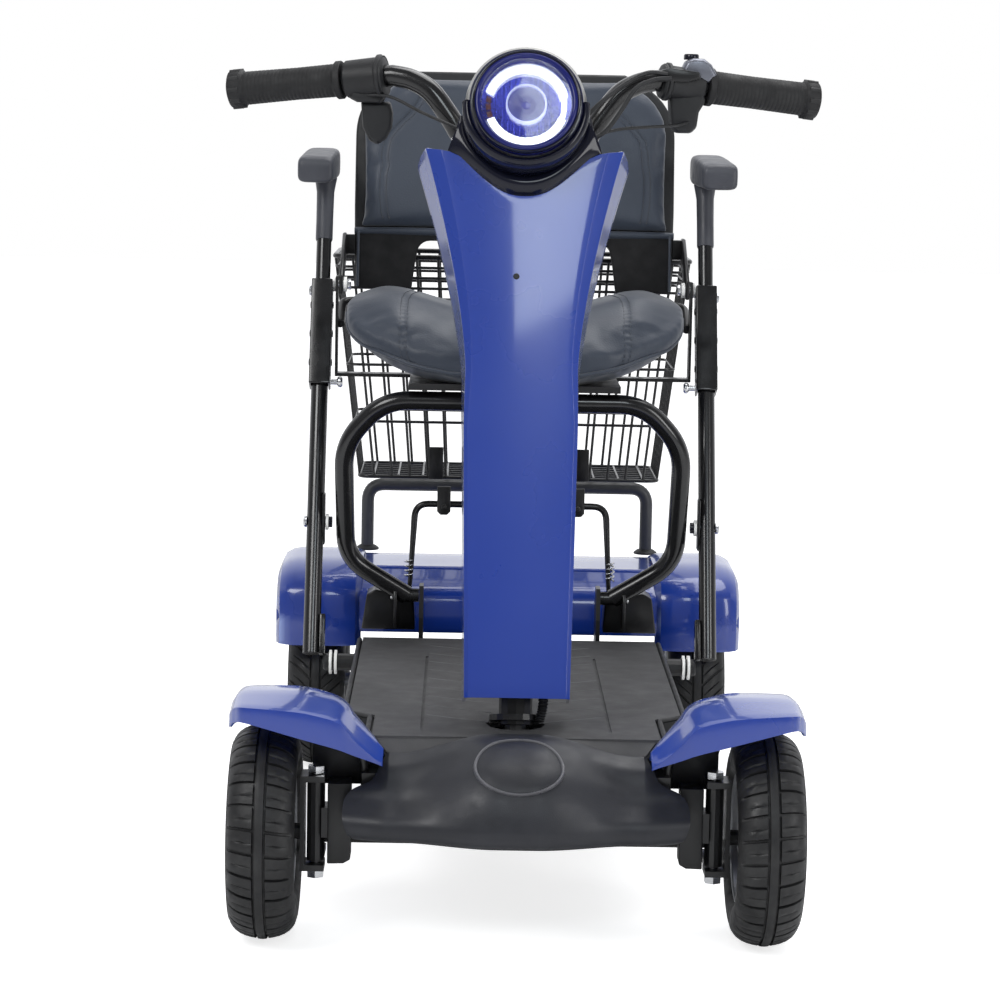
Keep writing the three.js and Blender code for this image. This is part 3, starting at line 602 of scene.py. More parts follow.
def display():
    """The charge display on the rider's side of the dash, with plain round lights."""
    corners = [on_column(x, back, along) for along in (556, 604) for back in (-8, 0) for x in (-46, 46)]
    piece("display_panel", Shape().add(corners, BLOCK_FACES), "gloss", "tiller", bevel=3, segments=3)
    dome = [(0.01, 0), (3.4, 0), (3, 0.8), (0.01, 0.9)]
    lights = Shape()
    for x in (-24, -12, 0, 12, 24):
        lights.lathe(dome, on_column(x, 0.3, 584), BACK, 24)
    piece("display_lights", lights, "led", "tiller")


def lamp_centre(depth=0):
    return on_column(0, LAMP["front"], LAMP["along"]) - LAMP_FORWARD * depth


def lamp_part(name, profile, finish, replaces=(), lift=0, sides=64, sharp=60):
    """A turned part of the headlight; its profile's second number is measured forward from the bezel."""
    shape = Shape().lathe(profile, lamp_centre() + LAMP_UP * lift, LAMP_FORWARD, sides)
    piece(name, shape, finish, "tiller", replaces, sharp=sharp)


def ring_sector(shape, outer, inner, depth, start, end, steps=40):
    """Part of a flat ring at the bottom of the lamp, with a rounded front; angles in degrees."""
    low, high = depth * 0.7, depth
    profile = [(inner, 0), (inner, low), (inner + 2, high), (outer - 2, high), (outer, low), (outer, 0)]
    rows = []
    for i in range(steps + 1):
        angle = math.radians(lerp(start, end, i / steps))
        across = Vector((math.cos(angle), 0, 0)) + LAMP_UP * math.sin(angle)
        rows.append([lamp_centre(12) + across * radius + LAMP_FORWARD * height for radius, height in profile])
    return shape.grid(rows, closed=True, capped=True)


def lamp():
    """The headlight's housing, bezel, trim ring and reflector bowl."""
    housing = [(0.01, -74), (22, -74), (40, -66), (54, -54), (60.5, -42), (62, -30), (62.3, -20), (61, -12),
               (58, -8.5), (56.6, -9.5), (56.6, -15.6), (0.01, -15.6)]
    lamp_part("lamp_housing", housing, "silver", ["headlight_housing"], lift=3, sides=72, sharp=50)
    bezel = [(45.9, -14), (46, 1), (48, 4.4), (50.5, 4.6), (52.4, 3), (53.4, -3), (53.4, -15.2),
             (45.9, -15.2)]
    lamp_part("lamp_bezel", bezel, "navy", ["headlight_bezel"], sides=96)
    trim = [(52, 2.2), (52.8, 3.8), (54.2, 4), (54.9, 2.4), (54.6, -2), (53.4, -2)]
    lamp_part("lamp_trim", trim, "gloss", sides=96)
    bowl = [(0.01, -15), (45.9, -15), (45.9, -6), (34, -12), (0.01, -13)]
    lamp_part("lamp_bowl", bowl, "reflector", sides=72, sharp=40)


def headlight_lights():
    """The bright ring, its small cells on one side and the dark cells on the other."""
    outer, inner = LAMP["ring"], LAMP["ring_inner"]
    bright = Shape()
    for start, end in ((12, 163), (203, 338)):
        ring_sector(bright, outer, inner, 5, start, end)
    dark = Shape()
    for shape, angles in ((bright, (-16, -5, 6)), (dark, (172, 184, 196))):
        for angle in angles:
            ring_sector(shape, outer - 2, inner + 1, 4, angle - 4.5, angle + 4.5, 4)
    piece("lamp_led_ring", bright, "led", "tiller", sharp=60)
    piece("lamp_side_cells", dark, "amber", "tiller", sharp=60)


def headlight_projector():
    """Upright fins behind the round projector, its bright edge, and the glass in front of it all."""
    fins = Shape()
    for i in range(11):
        x = -30 + 6 * i
        foot, half = lamp_centre(12) + Vector((x, 0, 0)), LAMP_UP * math.sqrt(33**2 - x**2)
        fins.tube([foot + half, foot - half], 1.6, 8)
    piece("lamp_reflector_fins", fins, "reflector", "tiller", sharp=60)
    r = LAMP["projector"]
    eye = [(0.01, -12), (r - 1, -12), (r - 1, -5), (r - 4, -4), (r * 0.6, -1), (r * 0.3, 0.6), (0.01, 1)]
    lamp_part("lamp_projector", eye, "projector")
    edge = [(r - 0.8, -12), (r - 0.8, -3), (r, -2.2), (r + 0.8, -3), (r + 0.8, -12)]
    lamp_part("lamp_projector_ring", edge, "led_dim")
    glass = [(0.01, 3.9), (20, 3.85), (40, 3.7), (46, 3.2), (46, 1.9), (40, 2.4), (20, 2.55), (0.01, 2.6)]
    facing = (Vector((-0.023, 0, 0)) - BACK).normalized()
    piece("lamp_glass", Shape().lathe(glass, lamp_centre(3), facing, 72), "lens", "tiller",
          ["headlight_lens"], sharp=60)


# Handlebar, rider's left half; the right is its mirror image.
BAR_LINE = [(0, 237, 776), (40, 237, 776), (60, 238, 785), (78, 242, 812), (98, 247, 838), (118, 252, 850)]
BAR_END = Vector((304, 299, 837.5))
GRIP_START = Vector((134, 256, 855))
GRIP_HEADING = (BAR_END - GRIP_START).normalized()


def on_bar(distance, sign=LEFT):
    point = GRIP_START + GRIP_HEADING * distance
    return Vector((sign * point.x, point.y, point.z))


def bar_heading(sign):
    return Vector((sign * GRIP_HEADING.x, GRIP_HEADING.y, GRIP_HEADING.z))


def handlebar():
    half = curve([*BAR_LINE, GRIP_START + Vector((4, 1, -0.6))], 6) + [on_bar(30), on_bar(90), BAR_END]
    tube = Shape().tube(mirrored_line(half[1:]) + half, 11.1, 32)
    piece("handlebar_tube", tube, "gloss_paint", "tiller", ["handlebar"], sharp=50)


def grips():
    """Ribbed rubber sleeves, each with a flange at its inner end and a lugged cap at its outer end."""
    ribs = 22
    profile = [(11.9, 0), (19, 0), (20, 1), (20, 6), (19, 7), (17.2, 9)]
    for i in range(ribs):
        start, swell = 10 + i * 4.4, 16.6 + 1.2 * abs(i / ribs - 0.4)
        profile += [(swell, start), (swell + 0.28, start + 0.8), (swell + 0.28, start + 3.4),
                    (swell, start + 4)]
    profile += [(17.5, 108), (19.8, 110), (20.6, 112), (20.6, 120), (19, 124), (14, 126), (0.01, 126)]
    profile += [(0.01, 119.5), (11.9, 119.5)]
    for side, sign in SIDES:
        centre, heading = on_bar(59, sign), bar_heading(sign)
        sleeve = Shape().lathe(profile, centre, heading, 48)
        piece(f"grip_sleeve_{side}", sleeve, "grip", "tiller", [f"grip_{side}"], sharp=35)
        lugs = Shape()
        turn = Vector((0, 0, 1)).rotation_difference(heading)
        for angle in circle(10):
            start = centre + heading * 111 + turn @ Vector((math.cos(angle), math.sin(angle), 0)) * 18.6
            lugs.tube([start, start + heading * 11], 3.2, 12)
        piece(f"grip_end_lugs_{side}", lugs, "grip", "tiller", sharp=40)


def collar(sign, start, end, radius, ring):
    """A moulded clamp round the handlebar with rounded ends and a raised ring."""
    profile = [(11.6, start), (radius - 4, start), (radius - 1, start + 1.5), (radius, start + 5),
               (radius, ring - 3), (radius - 1, ring - 2), (radius + 1.5, ring), (radius + 1.5, ring + 3),
               (radius - 1, ring + 5), (radius - 2, end - 3), (radius - 5, end), (11.6, end)]
    return Shape().lathe(profile, on_bar(0, sign), bar_heading(sign), 48)


def pod(outline, low, high, round_to=0.8):
    """A moulded pod: an (x, z) outline swept from y low to y high, its two ends drawn in."""
    cx = sum(p[0] for p in outline) / len(outline)
    cz = sum(p[1] for p in outline) / len(outline)
    rows = []
    for t, shrink in ((0, round_to), (0.12, 0.95), (0.3, 1), (0.7, 1), (0.88, 0.95), (1, round_to)):
        y = lerp(low, high, t)
        rows.append([(cx + (x - cx) * shrink, y, cz + (z - cz) * shrink) for x, z in outline])
    return Shape().grid(rows, closed=True, capped=True)


def throttle():
    """Thumb throttle on the rider's right: collar, mounting tab and the lever that hangs below it."""
    piece("throttle_collar", collar(RIGHT, 12, 57, 21.5, 16), "plastic", "tiller", ["throttle_housing"],
          sharp=40)
    tab = pod([(-184, 838), (-150, 838), (-146, 830), (-150, 825), (-176, 826), (-184, 830)], 254, 284)
    piece("throttle_tab", tab, "plastic", "tiller", bevel=1.5)
    outline = [(-172, 827), (-141, 827), (-138, 816), (-139, 800), (-145, 788), (-154, 782), (-163, 786),
               (-170, 800)]
    lever = pod(outline, 262, 282, 0.86)
    lever.tube(curve([(-143, 283, 822), (-142, 285, 806), (-148, 286, 790)]), 3.4, 12)
    piece("throttle_paddle", lever, "plastic", "throttle_lever", ["throttle_lever"], bevel=2, segments=3)


def switches():
    """Switch housing on the rider's left: collar, body below, grey crown and the perch of the brake lever."""
    piece("switch_collar", collar(LEFT, 8, 57, 18.5, 14), "plastic", "tiller", ["switch_housing"], sharp=40)
    body = [(151, 846), (187, 846), (192, 836), (184, 822), (182, 806), (176, 800), (160, 800), (154, 806),
            (152, 826)]
    piece("switch_body", pod(body, 256, 285.5, 0.9), "plastic", "tiller", bevel=2.5, segments=3)
    crown = [(164, 866), (168, 875), (176, 878.6), (188, 878), (196, 872), (203, 860), (196, 852), (172, 852)]
    piece("switch_crown", pod(crown, 254, 283, 0.8), "pod_grey", "tiller", bevel=1.5)
    perch = [(138, 864), (150, 868), (182, 864), (184, 857), (170, 853), (140, 853)]
    piece("lever_perch", pod(perch, 240, 258, 0.96), "paint", "tiller", bevel=1.2)


def buttons():
    """Light button on top of the switch body; horn button on its rear, in a ring that hides its travel."""
    middle, low = centre_of("light_button"), box_mm("light_button")[0]
    cap = [(0.01, 0), (7.6, 0), (8, 1), (8, 4.6), (7, 6), (0.01, 6.2)]
    light = Shape().lathe(cap, (middle.x, middle.y, low.z + 0.4), (0, 0, 1), 32)
    piece("light_button_cap", light, "gloss", "light_button", ["light_button"], sharp=40)
    middle, low = centre_of("horn_button"), box_mm("horn_button")[0]
    base = (middle.x, low.y, middle.z)
    cap = [(0.01, 3.3), (7, 3.3), (7, 5.4), (6, 7), (4, 6.6), (0.01, 6.2)]
    horn = Shape().lathe(cap, base, (0, 1, 0), 32)
    piece("horn_button_cap", horn, "red", "horn_button", ["horn_button"], sharp=40)
    ring = [(7.8, -0.6), (9.6, -0.6), (9.6, 3), (9, 3.8), (7.8, 3.8)]
    piece("horn_button_ring", Shape().lathe(ring, base, (0, 1, 0), 32), "plastic", "tiller", sharp=40)


# Each cable's radius and its way from the handlebar to the dash.
CABLES = {
    "throttle_cable": (1.7, [(-168, 256, 834), (-140, 243, 832), (-108, 226, 817), (-74, 204, 803),
                             (-58, 192, 797), (-50, 196, 780)]),
    "switch_cable": (1.7, [(174, 258, 812), (157, 246, 808), (130, 232, 806), (97, 210, 803), (74, 196, 796),
                           (58, 194, 784)]),
    "brake_cable_upper": (2.4, [(148, 240, 861), (128, 232, 862), (106, 222, 852), (82, 208, 834),
                                (62, 200, 814), (52, 202, 795)]),
    "brake_cable_lower": (2.4, [(152, 240, 857), (134, 230, 855), (115, 220, 846), (99, 208, 822),
                                (84, 200, 802), (66, 196, 790)]),
}


def cables():
    for name, (radius, points) in CABLES.items():
        piece(name, Shape().tube(curve(points), radius, 14), "plastic", "tiller", sharp=60)


def conduit():
    """Corrugated cable sleeve beside the stem, from the fairing into the deck."""
    stations = ((26, -14, 62), (28, -20, 40), (27, -22, 18), (24, -20, 2))
    line = curve([on_column(*station) for station in stations], 12)
    radii = [5.4 if i % 2 else 4.2 for i in range(len(line))]
    piece("stem_conduit", Shape().tube(line, radii, 20), "plastic", "steering_stem", sharp=20)


# ---- folding seat frame ------------------------------------------------------------------------------

# Pivots of the folding frame on the rider's left: the U-frame's foot, then the side arm's middle and top.
FOOT = Vector((122, 572, 249))
MIDDLE = Vector((230, 552, 338))
TOP = Vector((230, 666, 610))
U_LEAN = math.atan2(MIDDLE.y - FOOT.y, MIDDLE.z - FOOT.z)
ARM_LEAN = math.atan2(TOP.y - MIDDLE.y, TOP.z - MIDDLE.z)


def on_leaning(origin, lean, x, back, along):
    """A point across, behind and along a tube that leans rearward from its origin."""
    y = origin.y + along * math.sin(lean) + back * math.cos(lean)
    z = origin.z + along * math.cos(lean) - back * math.sin(lean)
    return Vector((x, y, z))


def on_arm(x, back, along):
    return on_leaning(MIDDLE, ARM_LEAN, x, back, along)


def u_frame():
    """The bent tube that swings forward when the seat folds, with a short axle at each foot."""
    top = (486 - FOOT.z) / math.cos(U_LEAN)
    points = ((150, top), (197, 190), (194, 46), (122, 0))
    half = [on_leaning(FOOT, U_LEAN, x, 0, along) for x, along in points]
    tube = Shape().tube(bent(mirrored_line(half) + half, 30, 8), 11, 36)
    for sign in (LEFT, RIGHT):
        tube.tube([(sign * 107.5, FOOT.y, FOOT.z), (sign * 128, FOOT.y, FOOT.z)], 8, 24)
    piece("u_frame_tube", tube, "gloss_paint", "u_frame", ["u_frame"], sharp=50)


def side_arms():
    """Round lower tube, and the channel above it that the armrest's tube slides in."""
    x = MIDDLE.x
    tube = Shape().tube([on_arm(x, 0, -158), on_arm(x, 0, 172)], 10, 32)
    both("side_arm_tube", tube, "gloss_paint", "side_arm_{side}", sharp=50)
    half, deep, wall = 12.5, 15, 2.6
    outline = [(-half, -deep), (half, -deep), (half, deep), (half - wall, deep), (half - wall, -deep + wall),
               (-half + wall, -deep + wall), (-half + wall, deep), (-half, deep)]
    rows = [[on_arm(x + across, back, along) for across, back in outline] for along in (166, 168, 295, 297)]
    channel = Shape().grid(rows, closed=True)
    for row in (rows[0], rows[-1]):
        channel.add(row, [(0, 1, 4, 5), (1, 2, 3, 4), (5, 6, 7, 0)])
    both("side_arm_channel", channel, "gloss_paint", "side_arm_{side}", ["side_arm"], bevel=1.6, segments=3)
    nut = bolt(Shape(), on_arm(242.6, 0, 286), (1, 0, 0), 6, 3.5)
    both("side_arm_bolt", nut, "chrome", "side_arm_{side}", bevel=0.4)
    head = [(0.01, 0), (4.4, 0), (4, 1.4), (0.01, 1.8)]
    rivets = Shape()
    for along in (196, 232, 268):
        for face, out in ((x + 12.4, 1), (x - 12.4, -1)):
            rivets.lathe(head, on_arm(face, 0, along), (out, 0, 0), 24)
    both("side_arm_rivets", rivets, "paint", "side_arm_{side}", sharp=40)


def mid_pivots():
    """Spacer, washer, welded tab and nut where each side arm turns on the U-frame."""
    _, y, z = MIDDLE
    spacer = Shape().tube([(224, y, z), (210, y, z)], 6.5, 28)
    both("mid_pivot_spacer", spacer, "gloss", "side_arm_{side}", sharp=40)
    washer = Shape().lathe([(5, 0), (9.4, 0), (9.4, 3), (5, 3)], (214.5, y, z), (1, 0, 0), 32)
    both("mid_pivot_washer", washer, "nylon", "side_arm_{side}", sharp=40)
    tab = Shape().block((218.5, y - 9, z - 26), (221.5, y + 9, z + 34))
    both("mid_pivot_tab", tab, "paint", "side_arm_{side}", bevel=1.2)
    nut = bolt(Shape(), (240, y, z), (1, 0, 0), 6.5, 4)
    both("mid_pivot_nut", nut, "chrome", "side_arm_{side}", bevel=0.5)


def side_arm_hooks():
    """Flat plate and two thin straps at the foot of each side arm."""
    hook = Shape()
    for back in (-11, 11):
        hook.tube([on_arm(218, back, -118), on_arm(218, back * 0.8, -158)], 1.6, 12)
    outline = ((214.8, -9), (221, -9), (221, 9), (214.8, 9))
    plate = [[on_arm(x, back, along) for x, back in outline] for along in (-112, -120, -150, -159.5)]
    hook.grid(plate, closed=True, capped=True)
    both("side_arm_hook", hook, "gloss_paint", "side_arm_{side}", bevel=1)


def hook_bolts():
    """White washers and a cap on each end of the cross tube that the side arms hook onto."""
    y, z = 490, 183
    washers = Shape()
    for x in (200, 206):
        washers.lathe([(10.3, 0), (14, 0), (14, 3), (10.3, 3)], (x, y, z), (1, 0, 0), 32)
    both("hook_tube_washers", washers, "nylon", "chassis", sharp=40)
    cap = Shape().lathe([(0.01, 0), (9.8, 0), (9.8, 2), (8, 4), (0.01, 4.6)], (212, y, z), (1, 0, 0), 32)
    both("hook_tube_cap", cap, "plastic", "chassis", sharp=40)


def top_hinges():
    """The seat's hinge at the top of each side arm: bolt, two white washers and a nut."""
    _, y, z = TOP
    stem = Shape().tube([(217.3, y, z), (205, y, z)], 5, 24)
    both("seat_hinge_bolt", stem, "chrome", "seat", sharp=50)
    for name, start, end in (("inner", 201, 204.6), ("outer", 214.5, 217.2)):
        ring = Shape().lathe([(4, start), (9, start), (9, end), (4, end)], (0, y, z), (1, 0, 0), 32)
        both(f"seat_hinge_washer_{name}", ring, "nylon", "seat", sharp=40)
    nut = bolt(Shape(), (196, y, z), (1, 0, 0), 6.5, 5)
    both("seat_hinge_nut", nut, "chrome", "seat", bevel=0.5)


def lock_pins():
    """Pull pins that hold the armrests' height, each with a round knob."""
    end = on_arm(209, 0, 172)
    pin = Shape().tube([on_arm(217, 0, 172), end], 3.4, 24)
    pin.lathe([(0.01, 0), (5.5, 0), (6.5, 1.5), (6.5, 4.5), (5, 6), (0.01, 6)], end, (-1, 0, 0), 32)
    both("lock_pin_knob", pin, "chrome", "lock_pin_{side}", ["lock_pin"], sharp=40)


def squared(angle, power=0.42):
    """A point on a square with rounded corners that reaches from -1 to 1 each way."""
    c, s = math.cos(angle), math.sin(angle)
    return math.copysign(abs(c) ** power, c), math.copysign(abs(s) ** power, s)


def armrests():
    """Tube that slides in the side arm, tapered socket and a pad with a rounded nose."""
    x = MIDDLE.x
    post = Shape().tube([on_arm(x, 0, 200), on_arm(x, 0, 415), on_arm(x, 0, 430)], 8.9, 32)
    both("armrest_tube", post, "gloss_paint", "armrest_{side}", ["armrest_post"], sharp=50)
    low, high = box_mm("armrest_pad_left")
    # Along the pad from its nose: how far the top drops and the underside rises, and its share of the width.
    stations = ((0, 17, 3, 0.8), (2, 11, 1, 0.92), (6, 8, 0, 0.98), (12, 7, 0, 1), (60, 5, 0, 1),
                (120, 2, 0, 1), (180, 0, 0, 1), (206, 0, 1, 0.97), (214, 3, 4, 0.9),
                (high.y - low.y, 9, 9, 0.78))
    rows = []
    for along, drop, lift, width in stations:
        top, bottom = high.z - drop, low.z + lift
        centre = Vector(((high.x + low.x) / 2, low.y + along, (top + bottom) / 2))
        half, thick = (high.x - low.x) / 2 * width, (top - bottom) / 2
        rows.append([centre + Vector((half * c, 0, thick * s)) for c, s in map(squared, circle(36))])
    pad = Shape().grid(rows, closed=True, capped=True)
    both("armrest_cap", pad, "pad", "armrest_{side}", ["armrest_pad"], subdivide=1, sharp=50)
    rings = []
    for radius, along in ((13.5, 430), (12.4, 424), (10.6, 412), (10.2, 380), (10.2, 352), (9.7, 350)):
        rings.append([on_arm(x + radius * math.cos(a), radius * math.sin(a), along) for a in circle(32)])
    socket = Shape().grid(rings, closed=True, capped=True)
    both("armrest_socket", socket, "pad", "armrest_{side}", sharp=40)


# ---- seat --------------------------------------------------------------------------------------------

SEAT_LOW, SEAT_HIGH = box_mm("seat_cushion")
SEAT = {"front": SEAT_LOW.y, "rear": SEAT_HIGH.y, "half": SEAT_HIGH.x - 4, "low": SEAT_LOW.z + 4}
BACK_LOW, BACK_HIGH = box_mm("backrest_cushion")
BACKREST = {"low": BACK_LOW.z, "roll": 672, "shoulder": 782, "high": BACK_HIGH.z, "half": 197}
ARCH = {"high": 660, "half": 122}


def spread(half, steps):
    """x from -half to half, closer together towards both ends."""
    return [half * math.sin(math.pi / 2 * i / steps) for i in range(-steps, steps + 1)]


def seat_under(x):
    return SEAT["low"] + 56 * (abs(x) / 195) ** 3.2


def seat_over(x, t):
    """Height of the top, t from the front edge (0) to the rear (1)."""
    side = abs(x) / SEAT["half"]
    rise = smooth(t / 0.42)
    hump = 20 * smooth((side - 0.25) / 0.5) * smooth(t / 0.5)
    return lerp(548 + 14 * side**2, 584, rise) + hump - 4 * smooth((t - 0.7) / 0.3)


def seat_top(x, t):
    """The padded top, rounded down a little along the front edge."""
    return seat_over(x, t) - 7 * (1 - smooth(t / 0.1))


def seat_bottom(x, t):
    """The padded underside, pressed in a little along the rear edge."""
    return seat_under(x) + 3 + 3 * smooth((t - 0.9) / 0.1)


def seat_outline(t):
    """Half-width of the seat from its rounded front edge to the rear."""
    return SEAT["half"] * (1 - 0.42 * (1 - clamp(t / 0.34)) ** 2.4) * (1 - 0.05 * smooth((t - 0.8) / 0.2))


def closed_pad(rows_top, rows_low):
    """A closed form from a top grid and an underside grid that share their layout."""
    across, deep = len(rows_top[0]), len(rows_top)
    top = [p for row in rows_top for p in row]
    low = [p for row in rows_low for p in row]
    faces, size = [], len(top)
    for r in range(deep - 1):
        for c in range(across - 1):
            a = r * across + c
            faces.append((a, a + 1, a + across + 1, a + across))
            faces.append((size + a, size + a + across, size + a + across + 1, size + a + 1))
    edge = [*range(across)] + [r * across + across - 1 for r in range(1, deep)]
    edge += [(deep - 1) * across + c for c in reversed(range(across - 1))]
    edge += [r * across for r in reversed(range(1, deep - 1))]
    for a, b in zip(edge, edge[1:] + edge[:1]):
        faces.append((a, size + a, size + b, b))
    return Shape().add(top + low, faces)


def seat_grid(height, inset):
    rows = []
    for r in range(25):
        t = r / 24
        half = seat_outline(t) - inset
        y = lerp(SEAT["front"] + inset, SEAT["rear"] - inset, t)
        sweep = 10 * (1 - t)
        rows.append([Vector((x, y + sweep * abs(x / half) ** 3, height(x, t))) for x in spread(half, 20)])
    return rows


def pillow(thing, cap_mm, pressure=4.0, voxel_mm=5.0):
    """Pads the mesh out like stuffed fabric: remesh, inflate as cloth, cap the travel, smooth."""
    remesh = thing.modifiers.new("remesh", "REMESH")
    remesh.mode = "VOXEL"
    remesh.voxel_size = voxel_mm * MM
    apply_modifiers(thing)
    rest = np.empty(len(thing.data.vertices) * 3)
    thing.data.vertices.foreach_get("co", rest)
    cloth = thing.modifiers.new("cloth", "CLOTH")
    cloth.settings.use_pressure = True
    cloth.settings.uniform_pressure_force = pressure
    cloth.settings.effector_weights.gravity = 0
    cloth.settings.quality = 5
    scene = bpy.context.scene
    for step in range(1, 21):
        scene.frame_set(step)
    graph = bpy.context.evaluated_depsgraph_get()
    moved = np.empty_like(rest)
    thing.evaluated_get(graph).data.vertices.foreach_get("co", moved)
    thing.modifiers.clear()
    travel = (moved - rest).reshape(-1, 3)
    length = np.linalg.norm(travel, axis=1, keepdims=True)
    travel *= np.minimum(1, cap_mm * MM / np.maximum(length, 1e-9))
    thing.data.vertices.foreach_set("co", (rest.reshape(-1, 3) + travel).ravel())
    scene.frame_set(1)
    relax = thing.modifiers.new("relax", "SMOOTH")
    relax.factor, relax.iterations = 0.5, 6
    finer = thing.modifiers.new("finer", "SUBSURF")
    finer.levels = finer.render_levels = 1
    apply_modifiers(thing)


def cushion(name, shape, finish, body, replaces, cap_mm):
    """A soft piece: built plain, then padded out, before it rides on its body."""
    thing = new_object(name, shape, merge=False)
    pillow(thing, cap_mm)
    thing.data.polygons.foreach_set("use_smooth", [True] * len(thing.data.polygons))
    return attach(thing, finish, body, replaces)


def surface_finder(thing):
    """The nearest point and normal on a finished piece, in working-frame millimetres."""
    mesh = thing.data
    corners = [v.co.copy() for v in mesh.vertices]
    tree = BVHTree.FromPolygons(corners, [tuple(p.vertices) for p in mesh.polygons])

    def nearest(point, lift=0.0):
        co, normal, _, _ = tree.find_nearest(place(point))
        co = co + normal * lift * MM
        return Vector((co.x / MM, (co.y - AXLE_Y) / MM, co.z / MM))

    return nearest


def carve_seam(thing, line, depth, width):
    """Presses a sewn seam into a soft piece along a line of points."""
    count = len(thing.data.vertices)
    spots, normals = np.empty(count * 3), np.empty(count * 3)
    thing.data.vertices.foreach_get("co", spots)
    thing.data.vertices.foreach_get("normal", normals)
    spots, normals = spots.reshape(-1, 3), normals.reshape(-1, 3)
    gap = np.full(count, np.inf)
    for point in line:
        gap = np.minimum(gap, np.linalg.norm(spots - np.array(place(point)), axis=1))
    press = depth * MM * np.exp(-((gap / (width * MM)) ** 2))
    thing.data.vertices.foreach_set("co", (spots - normals * press[:, None]).ravel())


def sew(pad, find, name, body, seam):
    """Presses a seam into each side of a cushion and stitches it; seam gives its line for one side."""
    for side, sign in SIDES:
        line = [find(point) for point in seam(sign)]
        carve_seam(pad, line, 1.1, 4)
        stitch(f"{name}_stitches_{side}", find, line, body, 4)


def seat_seam(sign):
    """Down the seat from its front edge to the rear, closing in a little."""
    for i in range(50):
        t = i / 49
        y = lerp(SEAT["front"] - 4, SEAT["rear"] - 30, t)
        yield sign * lerp(132, 112, smooth(t)), y, lerp(522, 620, smooth(t / 0.4))


def seat():
    """Bucket seat: padded top and underside, two sewn seams and piping round the front edge."""
    form = closed_pad(seat_grid(seat_top, 6), seat_grid(seat_bottom, 6))
    pad = cushion("seat_pad", form, "leather", "seat", ["seat_cushion"], 7)
    find = surface_finder(pad)
    sew(pad, find, "seat", "seat", seat_seam)
    reach, edge = 203, []
    for i in range(121):
        angle = math.pi * i / 120
        half = seat_outline(0.04 + 0.5 * (1 - math.sin(angle)))
        x = max(min(-math.cos(angle) * reach, half), -half)
        y = SEAT["front"] + 4 + (abs(x) / reach) ** 4 * 120
        edge.append(find((x, y, seat_under(x) + 8), 1.0))
    piece("seat_piping", Shape().tube(smooth_line(edge), 2.2, 12), "leather", "seat", sharp=60)


def smooth_line(points, passes=3):
    for _ in range(passes):
        inner = [(a + b * 2 + c) / 4 for a, b, c in zip(points, points[1:], points[2:])]
        points = [points[0], *inner, points[-1]]
    return points


def stitch(name, find, line, body, offset):
    """Short thread stitches along both sides of a seam."""
    threads = Shape()
    for i in range(1, len(line) - 1):
        along = (line[i + 1] - line[i - 1]).normalized()
        for side in (-1, 1):
            across = Vector((side * offset, 0, 0))
            a = find(line[i] + across - along * 1.4, 0.0)
            b = find(line[i] + across + along * 1.4, 0.0)
            if (b - a).length > 0.5:
                threads.tube([a, find(line[i] + across, 0.3), b], 0.3, 6)
    piece(name, threads, "thread", body, sharp=80)


def back_front(x, z):
    """The backrest's front surface: it leans back with height and curves round the rider."""
    side = x / BACKREST["half"]
    return 722 + 0.21 * (z - BACKREST["low"]) + 10 * side**2 - 6 * side**6


def shoulder_width(z):
    """The backrest's share of its full width, which rounds off above the shoulder line."""
    b = BACKREST
    rise = clamp((z - b["shoulder"]) / (b["high"] + 4 - b["shoulder"]))
    return math.sqrt(1 - 0.62 * rise**2.6)


def backrest_seam(sign):
    """Up the backrest from its roll, turning in towards the top."""
    for i in range(60):
        t = i / 59
        x = 156 + 8 * math.sin(math.pi * min(t * 1.2, 1)) - 38 * smooth((t - 0.6) / 0.4)
        yield sign * x, 700, lerp(BACKREST["roll"] + 4, BACKREST["high"] - 8, t)


def backrest():
    """Padded back with rounded shoulders, two sewn seams and a roll along its lower edge."""
    b = BACKREST
    front, rear = [], []
    for r in range(33):
        v = r / 32
        z = lerp(b["roll"] - 2, b["high"] - 4, v)
        xs = spread((b["half"] - 5 - 2 * (1 - v)) * shoulder_width(z), 20)
        front.append([Vector((x, back_front(x, z) + 5, z)) for x in xs])
        rear.append([Vector((x, back_front(x, z) + 24, z)) for x in xs])
    pad = cushion("backrest_pad", closed_pad(front, rear), "leather", "backrest", ["backrest_cushion"], 7)
    sew(pad, surface_finder(pad), "backrest", "backrest", backrest_seam)
    roll = [Vector((x, back_front(x, b["roll"]) + 9, b["roll"] - 1)) for x in spread(b["half"] * 0.995, 30)]
    radii = [3.6 + 1.4 * math.sin(math.pi * i / 60) ** 0.5 for i in range(61)]
    piece("backrest_roll", Shape().tube(roll, radii, 20), "leather", "backrest", sharp=60)


def backrest_sheet(outline, front, rear):
    """A panel that follows the backrest's curve, front and rear mm behind its front surface."""
    rows = [[(x, back_front(x, z) + depth, z) for x, z in outline] for depth in (front, rear)]
    return Shape().grid(rows, closed=True, capped=True)


